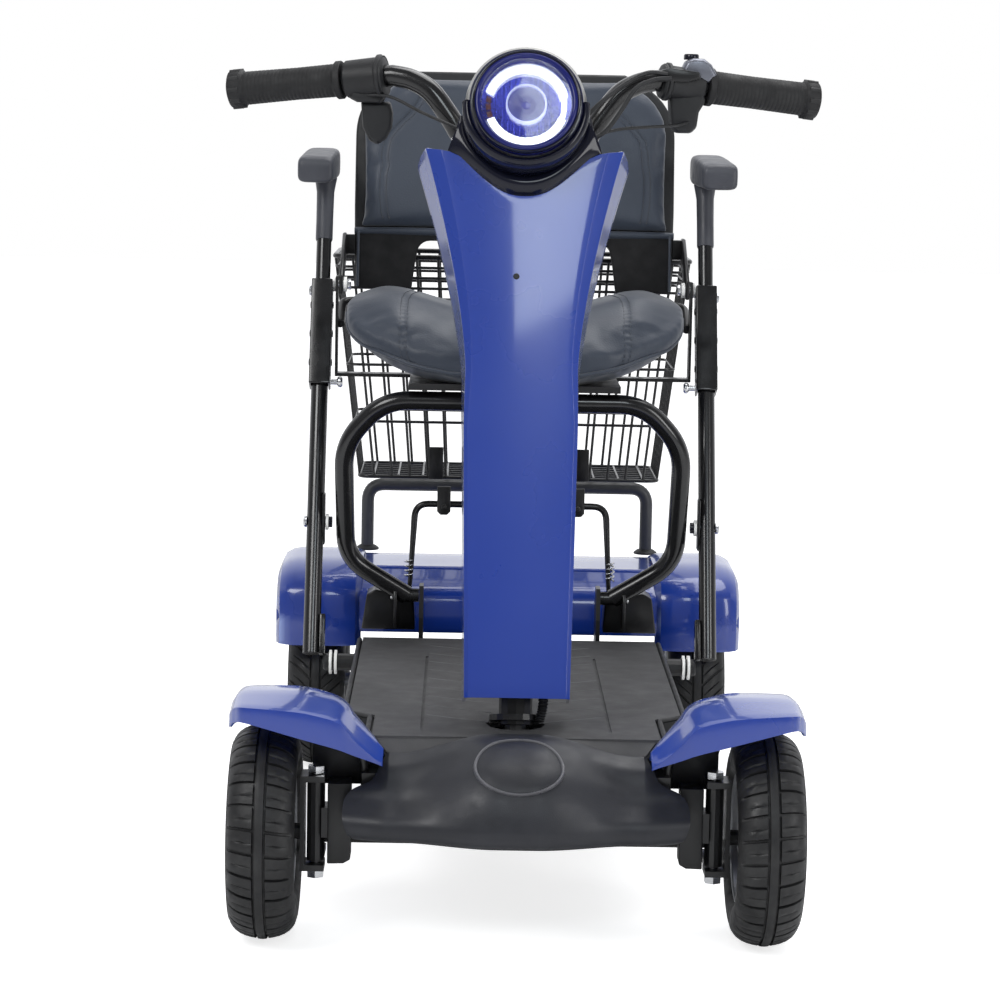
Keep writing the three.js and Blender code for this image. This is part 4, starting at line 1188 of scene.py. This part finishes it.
def backrest_skirt():
    """The two legs below the backrest's roll, joined over a round-cornered arch."""
    b, inner, corner = BACKREST, ARCH["half"], 16
    outline = [(b["half"] - 4, b["low"] + 1), (b["half"] - 1, b["roll"])]
    outline += [(-x, z) for x, z in reversed(outline)]
    arch = [(-inner - 3, b["low"] + 1), (-inner + 1, 634)]
    for i in range(7):
        angle = math.radians(180 - 15 * i)
        x = -inner + 3 + corner + corner * math.cos(angle)
        arch.append((x, ARCH["high"] - corner + corner * math.sin(angle)))
    outline += arch + [(-x, z) for x, z in reversed(arch[2:])] + [(-x, z) for x, z in reversed(arch[:2])]
    skirt = backrest_sheet(outline, 8, 22)
    piece("backrest_skirt", skirt, "fabric", "backrest", bevel=3, segments=3, sharp=50)
    piping = Shape()
    for sign in (LEFT, RIGHT):
        line = [(sign * (b["half"] - 6), back_front(190, z) + 5.4, z) for z in (b["low"] + 4, 636, b["roll"])]
        piping.tube(line, 1.8, 10)
    piece("backrest_skirt_piping", piping, "leather", "backrest", sharp=60)


def backrest_shell():
    """Moulded back panel with rounded shoulders, and the hinge arms it hangs on."""
    b, inner = BACKREST, ARCH["half"]
    half = [(inner - 16, ARCH["high"] + 2), (inner - 4, ARCH["high"] - 6), (inner, 640),
            (inner + 4, b["low"] + 1), (b["half"] - 2, b["low"] + 1), (b["half"], 700)]
    for i in range(13):
        z = lerp(b["shoulder"], b["high"] - 1, smooth(i / 12) * 0.5 + i / 24)
        half.append((b["half"] * shoulder_width(z), z))
    panel = backrest_sheet(half + [(-x, z) for x, z in reversed(half)], 25, 36)
    piece("backrest_back_panel", panel, "plastic", "backrest", ["backrest_shell"], bevel=4, segments=3,
          sharp=50)
    arm = [(656, 599), (676, 599), (762, 640), (762, 668), (740, 668), (656, 621)]
    hinge = Shape().prism(arm, "x", 205.5, 210)
    hinge.block((178, 750, 642), (208, 762, 666))
    both("backrest_hinge_arm", hinge, "paint", "backrest", bevel=1.5)


# ---- basket and bail ---------------------------------------------------------------------------------

BASKET_LOW, BASKET_HIGH = box_mm("basket")
BASKET = {"floor": BASKET_LOW.z, "rim": BASKET_HIGH.z, "front": BASKET_LOW.y, "rear": BASKET_HIGH.y,
          "floor_half": 192, "rim_half": BASKET_HIGH.x, "slope": 12}


def basket_corner(x_side, y_side, z):
    """A point on the basket's tapered wall: x_side and y_side run from -1 to 1."""
    t = (z - BASKET["floor"]) / (BASKET["rim"] - BASKET["floor"])
    half = lerp(BASKET["floor_half"], BASKET["rim_half"], t) - 3
    front = lerp(BASKET["front"] + BASKET["slope"], BASKET["front"], t) + 3
    rear = lerp(BASKET["rear"] - BASKET["slope"], BASKET["rear"], t) - 3
    return Vector((half * x_side, lerp(front, rear, (y_side + 1) / 2), z))


def basket_loop(z, radius, shape, corner=0.93):
    """A closed wire round the basket at one height, with rounded corners."""
    line = []
    for sx, sy, start in ((1, 1, 0), (-1, 1, 90), (-1, -1, 180), (1, -1, 270)):
        centre = basket_corner(sx * corner, sy * (1 - (1 - corner) * 2.4), z)
        edge = basket_corner(sx, sy, z)
        rx, ry = abs(edge.x - centre.x), abs(edge.y - centre.y)
        for i in range(7):
            angle = math.radians(start + 15 * i)
            line.append(centre + Vector((rx * math.cos(angle), ry * math.sin(angle), 0)))
    shape.tube([*line, line[0]], radius, 8)


def basket():
    """Tapered wire basket: rings close together under its rim, and two hanging straps."""
    wires, frame_wires, straps = Shape(), Shape(), Shape()
    floor, rim = BASKET["floor"] + 1.6, BASKET["rim"] - 3

    def wire(start, end, radius, lift=0):
        top = rim if start == end else floor + lift
        wires.tube([basket_corner(*start, floor + lift), basket_corner(*end, top)], radius, 8)

    basket_loop(rim, 3.2, frame_wires)
    basket_loop(floor + 1, 2.4, frame_wires)
    for z in (rim - 13, rim - 26, rim - 39, 500, 428):
        basket_loop(z, 1.8, wires)
    for i in range(16):
        side = lerp(-0.9, 0.9, i / 15)
        for end in (-1, 1):
            wire((side, end), (side, end), 1.7)
    for i in range(7):
        side = lerp(-0.8, 0.8, i / 6)
        for end in (-1, 1):
            wire((end, side), (end, side), 1.5)
        wire((-1, side), (1, side), 1.5)
    for i in range(12):
        side = lerp(-0.9, 0.9, i / 11)
        wire((side, -1), (side, 1), 1.5, 2.4)
    piece("basket_wires", wires, "wire", "basket", ["basket"], sharp=60)
    piece("basket_rim", frame_wires, "wire", "basket", sharp=60)
    front = BASKET["front"]
    for x in (-92, 92):
        straps.prism([(x - 9, 357), (x + 9, 357), (x + 9, 398), (x - 9, 398)], "y", front - 1, front + 1.6)
    piece("basket_straps", straps, "paint", "basket", bevel=0.8)


def basket_posts():
    """One bent tube that carries the basket, with a round foot at each end."""
    y, top = centre_of("basket_posts").y, BASKET["floor"] - 16
    line = bent([(180, y, 256), (180, y, top), (-180, y, top), (-180, y, 256)], 22, 8)
    # The tube takes the lighter grey copy of the black paint: painted light.
    piece("basket_post_tube", Shape().tube(line, 8, 28), "post_lit_grey", "chassis", ["basket_posts"], sharp=50)
    feet = Shape()
    for x in (-180, 180):
        feet.lathe([(8.2, 0), (15, 0), (15, 2), (11, 5), (8.2, 6)], (x, y, 254.4), (0, 0, 1), 32)
    piece("basket_post_feet", feet, "plastic", "chassis", sharp=40)


def bail():
    """Square loop of rod behind the seat, with bolted tabs on its top and a coil spring on each leg."""
    y, turn, coil = 620, math.pi / 8, 4.4
    line = bent([(-120, y, 242), (-114, y, 352), (114, y, 352), (120, y, 242)], 16, 8)
    radii = [2.6 if p.z < 336 else 4 for p in line]
    piece("bail_rod", Shape().tube(line, radii, 20), "gloss_paint", "bail", ["bail"], sharp=60)
    tabs, springs = Shape(), Shape()
    for x in (-80, 80):
        outline = [(x - 8, 344), (x - 4, 340), (x + 4, 340), (x + 8, 344), (x + 8, 374), (x - 8, 374)]
        tabs.prism(outline, "y", y - 8, y - 4.6)
        bolt(tabs, (x, y - 8, 350), (0, -1, 0), 3.4, 2, nut=False)
    piece("bail_tabs", tabs, "paint", "bail", bevel=0.6)
    for sign in (LEFT, RIGHT):
        turns = []
        for i in range(64):
            a = i * turn
            turns.append((sign * 121 + coil * math.cos(a), y + coil * math.sin(a), 262 + a * 0.9))
        springs.tube(turns, 1.1, 8)
    piece("bail_springs", springs, "chrome", "bail", sharp=60)


# ---- body panels -------------------------------------------------------------------------------------

# Front fender over the +X wheel. Each station across holds the points of its section from the lower front
# edge over the crease and the crown to the rear edge.
FENDER_STATIONS = [
    (131, [(-54, 186), (-54, 189), (-36, 199), (-28, 198), (-16, 188)]),
    (140, [(-60, 191), (-60, 196), (-32, 208), (-14, 206), (5, 195)]),
    (158, [(-68, 199), (-68, 214), (-26, 226), (2, 223), (30, 203)]),
    (173, [(-74, 206), (-74, 232), (-20, 240), (16, 236), (56, 207)]),
    (196, [(-77, 213), (-77, 240), (-14, 246), (32, 241), (76, 211)]),
    (218, [(-77, 219), (-77, 243.5), (-10, 248), (40, 243), (84, 214)]),
    (262, [(-76, 231), (-76, 246.5), (-10, 247), (40, 243), (84, 216)]),
    (275, [(-62, 229), (-60, 243), (-10, 244), (40, 240), (82, 214)]),
    (281, [(-50, 222), (-47, 234), (-10, 236), (40, 232), (78, 208)]),
]


def densify(stations, steps):
    """Adds stations between the given ones, on a smooth line through each point of the section."""
    lines = [curve([(x, *section[k]) for x, section in stations], steps) for k in range(len(stations[0][1]))]
    return [(points[0].x, [(p.y, p.z) for p in points]) for points in zip(*lines)]


def front_fender():
    """Blue skin with a crease in front and a low crown over the wheel, its liner and its stay."""
    # Parts of the section's four spans: the front face has few, the crown many.
    fractions = [0, 0.5, 1] + [1 + i / 4 for i in range(1, 13)]
    rows = []
    for x, section in densify(FENDER_STATIONS, 4):
        crown, row = (3.0 if x > 165 else 0.9), []
        for f in fractions:
            i = min(int(f), 3)
            a, b = section[i], section[i + 1]
            lift = crown * math.sin(math.pi * (f - 1) / 3) if f > 1 else 0
            row.append(Vector((x, lerp(a[0], b[0], f - i), lerp(a[1], b[1], f - i) + lift)))
        rows.append(row)
    fender_skin("front_fender_skin", rows, ["front_fender"])
    liner = [(131, 150), (203, 150), (203, 206), (196, 214), (170, 206), (150, 194), (131, 182)]
    both("fender_liner", Shape().prism(liner, "y", 23, 26), "plastic", "chassis", bevel=1)
    stay = bent([(150, -2, 136), (150, -2, 180), (168, -8, 214)], 14, 5)
    both("fender_stay", Shape().tube(stay, 4, 16), "paint", "chassis", sharp=50)


def fender_skin(name, rows, replaces=()):
    shape = Shape().grid(rows)
    both(name, shape, "blue", "chassis", replaces, bevel=1.6, solidify=3, sharp=24, segments=3)


# The bumper's section at its middle and at its ends, from the lower edge up to the deck, as (y, z).
COWL_MIDDLE = [(-84, 112), (-90, 118), (-91, 127), (-90, 135), (-86, 150), (-77, 167), (-60, 184), (-34, 198),
               (-10, 206.5), (8, 207)]
COWL_END = [(-60, 112), (-66, 117), (-67, 126), (-64, 134), (-55, 142), (-46, 150), (-40, 158), (-34, 166),
            (-24, 180), (-6, 189)]
COWL_HALF = [158, 164, 168, 170, 170, 168, 160, 142, 134, 127]


def cowl_point(side, up):
    """side from -1 to 1 across; up counts the section's points and may lie between two of them."""
    i = min(int(up), len(COWL_MIDDLE) - 2)
    t = up - i
    ends = [max(i - 1, 0), i, i + 1, min(i + 2, len(COWL_MIDDLE) - 1)]

    def through(values):
        a, b, c, d = (values[k] for k in ends)
        return b + 0.5 * t * (c - a + t * (2 * a - 5 * b + 4 * c - d + t * (3 * (b - c) + d - a)))

    reach = abs(side)
    weight = smooth((reach - 0.12) / 0.62)
    y = lerp(through([p[0] for p in COWL_MIDDLE]), through([p[0] for p in COWL_END]), weight)
    z = lerp(through([p[1] for p in COWL_MIDDLE]), through([p[1] for p in COWL_END]), weight)
    half = through(COWL_HALF)
    x = 126 * min(reach / 0.78, 1) + (half - 126) * smooth((reach - 0.78) / 0.22)
    return Vector((math.copysign(x, side), y + 10 * smooth((reach - 0.8) / 0.2), z))


def cowl():
    """Bumper skin that rises from its rounded lower edge to the deck."""
    last = len(COWL_MIDDLE) - 1
    rows = [[cowl_point((c - 40) / 40, last * r / 45) for c in range(81)] for r in range(46)]
    piece("bumper_skin", Shape().grid(rows), "cowl", "chassis", ["front_cowl"], bevel=1.2, solidify=4,
          sharp=40)


def on_badge(radius, angle, lift):
    """A point lifted off the bumper, on an oval round the badge's middle."""
    side = 0.012 + 44 * radius * math.cos(angle) / 126 * 0.78
    up = 6.3 + 1.45 * radius * math.sin(angle)
    across = cowl_point(side + 0.01, up) - cowl_point(side - 0.01, up)
    upward = cowl_point(side, up + 0.05) - cowl_point(side, up - 0.05)
    return cowl_point(side, up) + across.cross(upward).normalized() * lift


def badge_rings(*stations):
    return [[on_badge(radius, a, lift) for a in circle(72)] for radius, lift in stations]


def badge():
    """Blank oval plate with a raised rim that follows the bumper."""
    rings = badge_rings((0.93, 0.2), (0.93, 1.4), (0.9, 1.8), (0.6, 2), (0.3, 2.2), (0.04, 2.2))
    plate = Shape().grid(rings, closed=True).add(rings[-1], [tuple(range(72))])
    piece("badge_plate", plate, "cowl", "chassis", sharp=60)
    band = badge_rings((0.92, 0.1), (0.93, 2.4), (0.955, 3.2), (0.98, 3), (1.0, 1.8), (1.01, 0.1))
    piece("badge_rim", Shape().grid(band, closed=True), "badge_rim", "chassis", sharp=60)


def deck():
    """Fine slanting lines on the mat, a round trim along the deck's edge and an apron up to the bumper."""
    low, high = box_mm("deck_mat")
    lines, trim = Shape(), Shape()
    for i in range(9):
        y = 70 + 48 * i
        for ends in ((-92, -24), (24, 92)):
            lines.tube([(x, y + abs(x) / 2, high.z + 0.05) for x in ends], 0.45, 6)
    piece("deck_mat_lines", lines, "mat_line", "chassis", sharp=60)
    edge = ((149, low.y + 4), (149, low.y + 100), (176, low.y + 124), (176, 300), (176, high.y - 2))
    for sign in (LEFT, RIGHT):
        trim.tube([(sign * x, y, high.z - 3) for x, y in edge], 3, 14)
    piece("deck_edge_trim", trim, "plastic", "chassis", sharp=60)
    last, under = len(COWL_MIDDLE) - 1, Vector((0, 2, -2.5))
    edge = [cowl_point(i / 30 - 1, last) for i in range(61)]
    above = [Vector((p.x * 1.12, 15, high.z - 1)) for p in edge]
    below = [Vector((p.x * 1.12, 17, high.z - 8)) for p in edge]
    apron = Shape().grid([[p + under for p in edge], above, below, [p + under * 3 for p in edge]])
    piece("deck_apron", apron, "mat", "chassis", solidify=0.6, sharp=50)


# Rear fenders: from the bridge's side out to the tyre's outer side, along y, and up from the lower edge.
SHELL_LOW, SHELL_HIGH = box_mm("rear_shell")
REAR = {"inner": 181, "outer": SHELL_HIGH.x, "front": SHELL_LOW.y, "rear": SHELL_HIGH.y, "low": 174,
        "top": 268}


def profile(section, steps):
    """A smooth line through the (y, z) points of a section."""
    return [(p.x, p.y) for p in curve([Vector((y, z, 0)) for y, z in section], steps)]


def rear_fender():
    """Front face with a crease, a rounded crown over the wheel, a sloping tail and a short outer wall."""
    r = REAR
    front, rear = r["front"], r["rear"]
    line = profile([(front + 2, r["low"]), (front, 200), (front + 4, 232), (front + 12, 246),
                    (front + 30, 258), (front + 60, 266), (front + 100, r["top"]), (front + 160, 267),
                    (front + 210, 254), (rear - 14, 226), (rear, 182)], 5)
    # Across: where the edge drops and how far it lies back at the front.
    stations = [(r["inner"], -4, 14), (r["inner"] + 6, -1, 4), (r["inner"] + 20, 0, 0), (230, 0, 0),
                (258, 0, 0), (268, -2, 3), (275, -6, 9), (r["outer"], -14, 20)]
    rows, wall = [], []
    for x, drop, back in stations:
        row = []
        for y, z in line:
            backward = 0.9 * back * (1 - smooth((y - front) / 60))
            row.append(Vector((x, y + backward, z + drop * clamp((z - 200) / 50))))
        rows.append(row)
    for y, z in line:
        foot = max(z - 40, r["low"] - 2) if z > 220 else z
        wall.append(Vector((r["outer"], y + 18 * (1 - smooth((y - front) / 60)), foot)))
    fender_skin("rear_fender_skin", [*rows, wall])


def rear_bridge():
    """Cover between the rear fenders, over the transaxle."""
    line = profile([(650, 190), (648, 196), (648, 212), (652, 232), (662, 242), (678, 250), (700, 257),
                    (712, 260), (722, 258), (850, 256), (878, 240), (884, 186)], 4)
    rows = [[Vector((lerp(-183, 183, i / 24), y, z)) for y, z in line] for i in range(25)]
    piece("rear_bridge_skin", Shape().grid(rows), "blue", "chassis", ["rear_shell"], bevel=1.6, solidify=3,
          sharp=28, segments=3)


def tail_lights():
    """Oval red lens at the back of each rear fender."""
    for side, sign in SIDES:
        rows = []
        for y, grow in ((893, 1), (899.6, 1), (904, 0.8)):
            rows.append([Vector((sign * 232 + 30 * grow * math.cos(a), y, 214 + 13 * grow * math.sin(a)))
                         for a in circle(32)])
        lens = Shape().grid(rows, closed=True, capped=True)
        piece(f"tail_light_{side}", lens, "red", "chassis", sharp=50)


def foot_brackets():
    """Folded boxes behind the feet of the U-frame."""
    outline = [(112, 204), (176, 204), (170, 246), (160, 252), (122, 246), (114, 240)]
    box = Shape().prism(outline, "y", 590, 592, 626, 628)
    both("foot_bracket", box, "paint", "chassis", bevel=2, segments=3)
    outline = [(556, 212), (598, 212), (596, 244), (584, 260), (562, 260), (554, 246)]
    cheek = Shape().prism(outline, "x", 133.5, 137)
    both("foot_cheek", cheek, "paint", "chassis", bevel=0.8)
    nut = bolt(Shape(), (137, FOOT.y, FOOT.z), (1, 0, 0), 7, 4)
    both("foot_bolt", nut, "chrome", "chassis", bevel=0.5)


# ---- wheels ------------------------------------------------------------------------------------------


def tyre_span(node):
    """The inner and outer side of a tyre of the rider's left, along x."""
    low, high = box_mm(node)
    return low.x, high.x


# Which end, the axle's y, the tyre's span along x and the hub's bore.
WHEELS = (
    ("front", 0, tyre_span("front_tyre_left"), 8.6),
    ("rear", WHEELBASE, tyre_span("rear_tyre_left"), 9.6),
)


def straight(side):
    """Lean of the front tyres' grooves across the tread."""
    return 0.35 * side


def chevron(side):
    """Lean of the rear tyres' grooves: both halves point the same way."""
    return 2.6 * abs(side)


def tyre_surface(span, y, slant, ribs):
    """Tread blocks cut by lateral grooves, with a centre rib; slant leans the grooves round the wheel."""
    inner, outer = span
    wide, middle, radius = outer - inner, (inner + outer) / 2, TYRE_RADIUS
    # Half the section as (side, radius, depth share of the lateral grooves, of the groove round the wheel).
    section = [(s, r, 0, 0) for s, r in ((-0.42, 66), (-0.47, 70), (-0.5, 78), (-0.5, 86), (-0.47, 92.5))]
    section += [(-0.44, 95.5, 0.4, 0), (-0.4, 98.4, 1, 0), (-0.33, 101.6, 1, 0), (-0.25, 103.8, 1, 0),
                (-0.17, 105.2, 1, 0), (-0.1, 106, 1, 0), (-0.093, 106.1, 1, 1), (-0.066, 106.5, 1, 1),
                (-0.06, 106.6, 0, 0), (-0.03, 106.9, 0, 0), (0, 107, 0, 0)]
    section += [(-s, *rest) for s, *rest in reversed(section[:-1])]
    # Along one rib: full grooves (1), block faces (0) and a fine sipe between them.
    fractions = [(0, 1), (0.05, 1), (0.09, 1), (0.12, 0), (0.28, 0), (0.44, 0), (0.5, 0.55), (0.56, 0),
                 (0.72, 0), (0.88, 0), (0.97, 0)]
    rows = []
    for s, r, block, groove in section:
        row = []
        for rib in range(ribs):
            for fraction, cut in fractions:
                depth = 3.2 * groove
                if cut == 1:
                    depth = max(depth, 3.2 * block)
                elif cut and 0.14 < abs(s) < 0.36:
                    depth = max(depth, 2.6 * cut * block)
                angle, reach = 2 * math.pi * (rib + fraction + slant(s)) / ribs, r - depth
                here = (middle + s * wide, y + reach * math.sin(angle), radius + reach * math.cos(angle))
                row.append(Vector(here))
        rows.append(row)
    return Shape().grid([*rows, rows[0]], closed=True)


def tyres():
    """Treaded tyres: straight grooves in front, chevrons at the rear."""
    for (end, y, span, _), slant, ribs in zip(WHEELS, (straight, chevron), (28, 26)):
        tyre = tyre_surface(span, y, slant, ribs)
        both(f"{end}_tyre_tread", tyre, "tyre", end + "_wheel_{side}", [f"{end}_tyre"], sharp=32)


def rim_shape(span, y, bore):
    """Barrel with rolled edges, hub and a disc of five spokes on each face."""
    inner, outer = span
    centre = Vector((0, y, TYRE_RADIUS))
    barrel = [(66, inner + 6), (64, inner + 5), (61, inner + 7), (60, inner + 12), (53, inner + 20),
              (53, outer - 20), (60, outer - 12), (61, outer - 7), (64, outer - 5), (66, outer - 6),
              (63, outer - 9), (62, outer - 14), (56, outer - 21), (56, inner + 21), (62, inner + 14),
              (63, inner + 9)]
    shape = Shape().lathe(barrel, centre, (1, 0, 0), 72)
    hub = [(bore, inner + 8), (bore + 9, inner + 8), (bore + 12, inner + 14), (bore + 13, outer - 16),
           (bore + 10, outer - 9), (bore, outer - 9)]
    shape.lathe(hub, centre, (1, 0, 0), 48)
    for angle in circle(5):
        out = Vector((0, math.sin(angle), math.cos(angle)))
        across = Vector((0, math.cos(angle), -math.sin(angle)))
        for face in (outer - 21, inner + 21):
            rows = []
            for radius, half, thick in ((bore + 8, 11, 4.5), (32, 8.5, 3.6), (44, 9, 3.2), (55, 13, 3.4)):
                base, x = centre + Vector((face, 0, 0)) + out * radius, Vector((thick, 0, 0))
                wide, narrow = across * half, across * half * 0.8
                rows.append([base + wide - x, base + narrow + x, base - narrow + x, base - wide - x])
            shape.grid(rows, closed=True, capped=True)
    return shape


def rims():
    for end, y, span, bore in WHEELS:
        both(f"{end}_rim_cast", rim_shape(span, y, bore), "alloy", end + "_wheel_{side}", [f"{end}_rim"],
             bevel=0.7)


def hub_details():
    """Hub cap with its ring of nuts, valve stem and the raised rings on the tyre's outer side."""
    for end, y, (_, outer), _ in WHEELS:
        centre, body = Vector((0, y, TYRE_RADIUS)), end + "_wheel_{side}"
        cap = [(0.01, outer - 9), (15, outer - 9), (15, outer - 5), (12, outer - 2), (0.01, outer - 1)]
        nuts = Shape().lathe(cap, centre, (1, 0, 0), 40)
        for k in range(5):
            angle = 2 * math.pi * (k + 0.5) / 5
            nut = centre + Vector((outer - 12, 18.5 * math.sin(angle), 18.5 * math.cos(angle)))
            bolt(nuts, nut, (1, 0, 0), 2.6, 4)
        both(f"{end}_hub_cap", nuts, "gloss", body, sharp=40)
        points = ((outer - 22, 0, -52), (outer - 10, 0, -46), (outer - 4, 0, -43))
        line = [centre + Vector(point) for point in points]
        both(f"{end}_valve_stem", Shape().tube(line, [3.2, 2.6, 2.6], 14), "plastic", body, sharp=50)
        beads = Shape()
        for radius, height in ((72, 2.2), (88, 0.2)):
            bead = [(radius, outer - 3), (radius + 0.8, outer - height), (radius + 1.6, outer - 3)]
            beads.lathe(bead, centre, (1, 0, 0), 72)
        both(f"{end}_tyre_bead", beads, "tyre", body, sharp=60)


def axle_ends():
    """Folded plate at each end of the front axle beam, beside the kingpin."""
    outline = [(163, 82), (170, 78), (186, 77.5), (186, 159), (163, 159)]
    both("axle_end_plate", Shape().prism(outline, "y", -15, 15), "paint", "chassis", bevel=1.2)


def seat_cross_tube():
    """Round tube behind the seat that ties the two hinge brackets together."""
    line = bent([(-209, 674, 562), (-209, 726, 586), (209, 726, 586), (209, 674, 562)], 14, 6)
    piece("seat_cross_tube", Shape().tube(line, 5.5, 20), "paint", "seat", sharp=50)


# ---- CAD nodes that stay: their material and rounded edges from a modifier -----------------------------


def dress(node, finish):
    """A CAD node that stays as it is, with its finish and small rounded edges."""
    paint(NODES[node], finish)
    round_edges(NODES[node], 0.8, 2, 40)


KEPT = {
    "paint": ["main_frame", "knuckle_left", "knuckle_right", "track_rod", "steering_stem", "tiller_column",
              "seat_pan"],
    "plastic": ["belly_pan", "battery_pack", "deck_shell", "tiller_back_cover"],
    "alloy": ["controller", "transaxle"],
    "chrome": ["kingpin_left", "kingpin_right", "key_switch", "fold_lever"],
    "mat": ["deck_mat"],
}


def keep_nodes():
    for finish, nodes in KEPT.items():
        for node in nodes:
            dress(node, finish)


# ---- assembly ------------------------------------------------------------------------------------------

BUILDERS = [
    seat, seat_cross_tube, backrest, backrest_skirt, backrest_shell, fairing, dash, lamp_cradle, display,
    lamp, headlight_lights, headlight_projector, handlebar, grips, throttle, switches, buttons, cables,
    conduit, u_frame, side_arms, mid_pivots, side_arm_hooks, hook_bolts, top_hinges, lock_pins, armrests,
    basket, basket_posts, bail, front_fender, cowl, badge, deck, rear_fender, rear_bridge, tail_lights,
    foot_brackets, axle_ends, tyres, rims, hub_details, keep_nodes,
]
for build in BUILDERS:
    build()


# ---- floor, light and camera -------------------------------------------------------------------------

# The camera in the working frame (mm, degrees), on a 36 mm sensor.
CAMERA = {"x": -58, "distance": 2790, "height": 821, "pitch": 7.73, "yaw": 0.757, "roll": 1.1, "lens": 103.5}


def turn_and_show(thing, place_at, turn):
    thing.location = place_at
    thing.rotation_mode = "QUATERNION"
    thing.rotation_quaternion = turn
    bpy.context.scene.collection.objects.link(thing)


def camera():
    data = bpy.data.cameras.new("camera")
    data.lens = CAMERA["lens"]
    data.sensor_width = 36
    thing = bpy.data.objects.new("camera", data)
    yaw, pitch, roll = (math.radians(CAMERA[name]) for name in ("yaw", "pitch", "roll"))
    level = Quaternion((0, 0, 1), -yaw) @ Quaternion((1, 0, 0), math.pi / 2 - pitch)
    turn = level @ Quaternion((0, 0, 1), roll)
    turn_and_show(thing, place((CAMERA["x"], -CAMERA["distance"], CAMERA["height"])), turn)
    bpy.context.scene.camera = thing


def area_light(name, location, target, size, power, color=(1, 1, 1)):
    data = bpy.data.lights.new(name, "AREA")
    data.shape = "RECTANGLE"
    data.size, data.size_y = size
    data.energy = power
    data.color = color
    turn = (Vector(target) - Vector(location)).to_track_quat("-Z", "Y")
    turn_and_show(bpy.data.objects.new(name, data), location, turn)


def lights():
    """A softbox that the fairing mirrors on the rider's left, and three broad lights, all in metres."""
    middle = (0, 0, 0.4)
    area_light("softbox", (0.4, -3.1, 2.36), (0.02, -0.3, 0.7), (1.0, 0.72), 13, (0.88, 0.96, 1.0))
    area_light("key", (-1.9, -2.2, 2.6), middle, (1.4, 1.4), 38)
    area_light("fill", (2.4, -2.0, 1.3), middle, (0.7, 1.8), 20)
    area_light("top", (0.6, 0.6, 3.2), middle, (2.0, 2.0), 40)


def surroundings():
    """Pure white to the camera. As a light it is dim in front of the scooter and bright behind it."""
    world = bpy.data.worlds.new("studio")
    world.use_nodes = True
    nodes, link = world.node_tree.nodes, world.node_tree.links.new
    lit = nodes["Background"]
    lit.inputs["Color"].default_value = (0.96, 0.97, 1.0, 1)
    direction = nodes.new("ShaderNodeSeparateXYZ")
    link(nodes.new("ShaderNodeTexCoord").outputs["Generated"], direction.inputs["Vector"])
    strength = nodes.new("ShaderNodeMapRange")
    for name, value in (("From Min", -0.1), ("From Max", 0.7), ("To Min", 0.26), ("To Max", 1.0)):
        strength.inputs[name].default_value = value
    link(direction.outputs["Y"], strength.inputs["Value"])
    link(strength.outputs["Result"], lit.inputs["Strength"])
    seen = nodes.new("ShaderNodeBackground")
    seen.inputs["Color"].default_value = (1, 1, 1, 1)
    mix = nodes.new("ShaderNodeMixShader")
    link(nodes.new("ShaderNodeLightPath").outputs["Is Camera Ray"], mix.inputs["Fac"])
    link(lit.outputs["Background"], mix.inputs[1])
    link(seen.outputs["Background"], mix.inputs[2])
    link(mix.outputs["Shader"], nodes["World Output"].inputs["Surface"])
    bpy.context.scene.world = world
    bpy.context.scene.view_settings.view_transform = "Standard"


def floor():
    """A pale floor that glows to the camera alone, so that it meets the white surroundings unseen."""
    reach = 12
    mesh = bpy.data.meshes.new("floor")
    corners = [(-reach, -reach, 0), (reach, -reach, 0), (reach, reach, 0), (-reach, reach, 0)]
    mesh.from_pydata(corners, [], [(0, 1, 2, 3)])
    thing = bpy.data.objects.new("floor", mesh)
    bpy.context.scene.collection.objects.link(thing)
    shader = Shader("floor", (0.88, 0.88, 0.88), 0.6)
    shader.vary_roughness(shader.noise(3), 0.5, 0.7)
    shader.set("Emission Color", (1, 1, 1, 1))
    seen_directly = shader.node("LightPath").outputs["Is Camera Ray"]
    shader.link(shader.ramp(seen_directly, 0, 0.74), shader.bsdf.inputs["Emission Strength"])
    mesh.materials.append(shader.material)


camera()
surroundings()
lights()
floor()
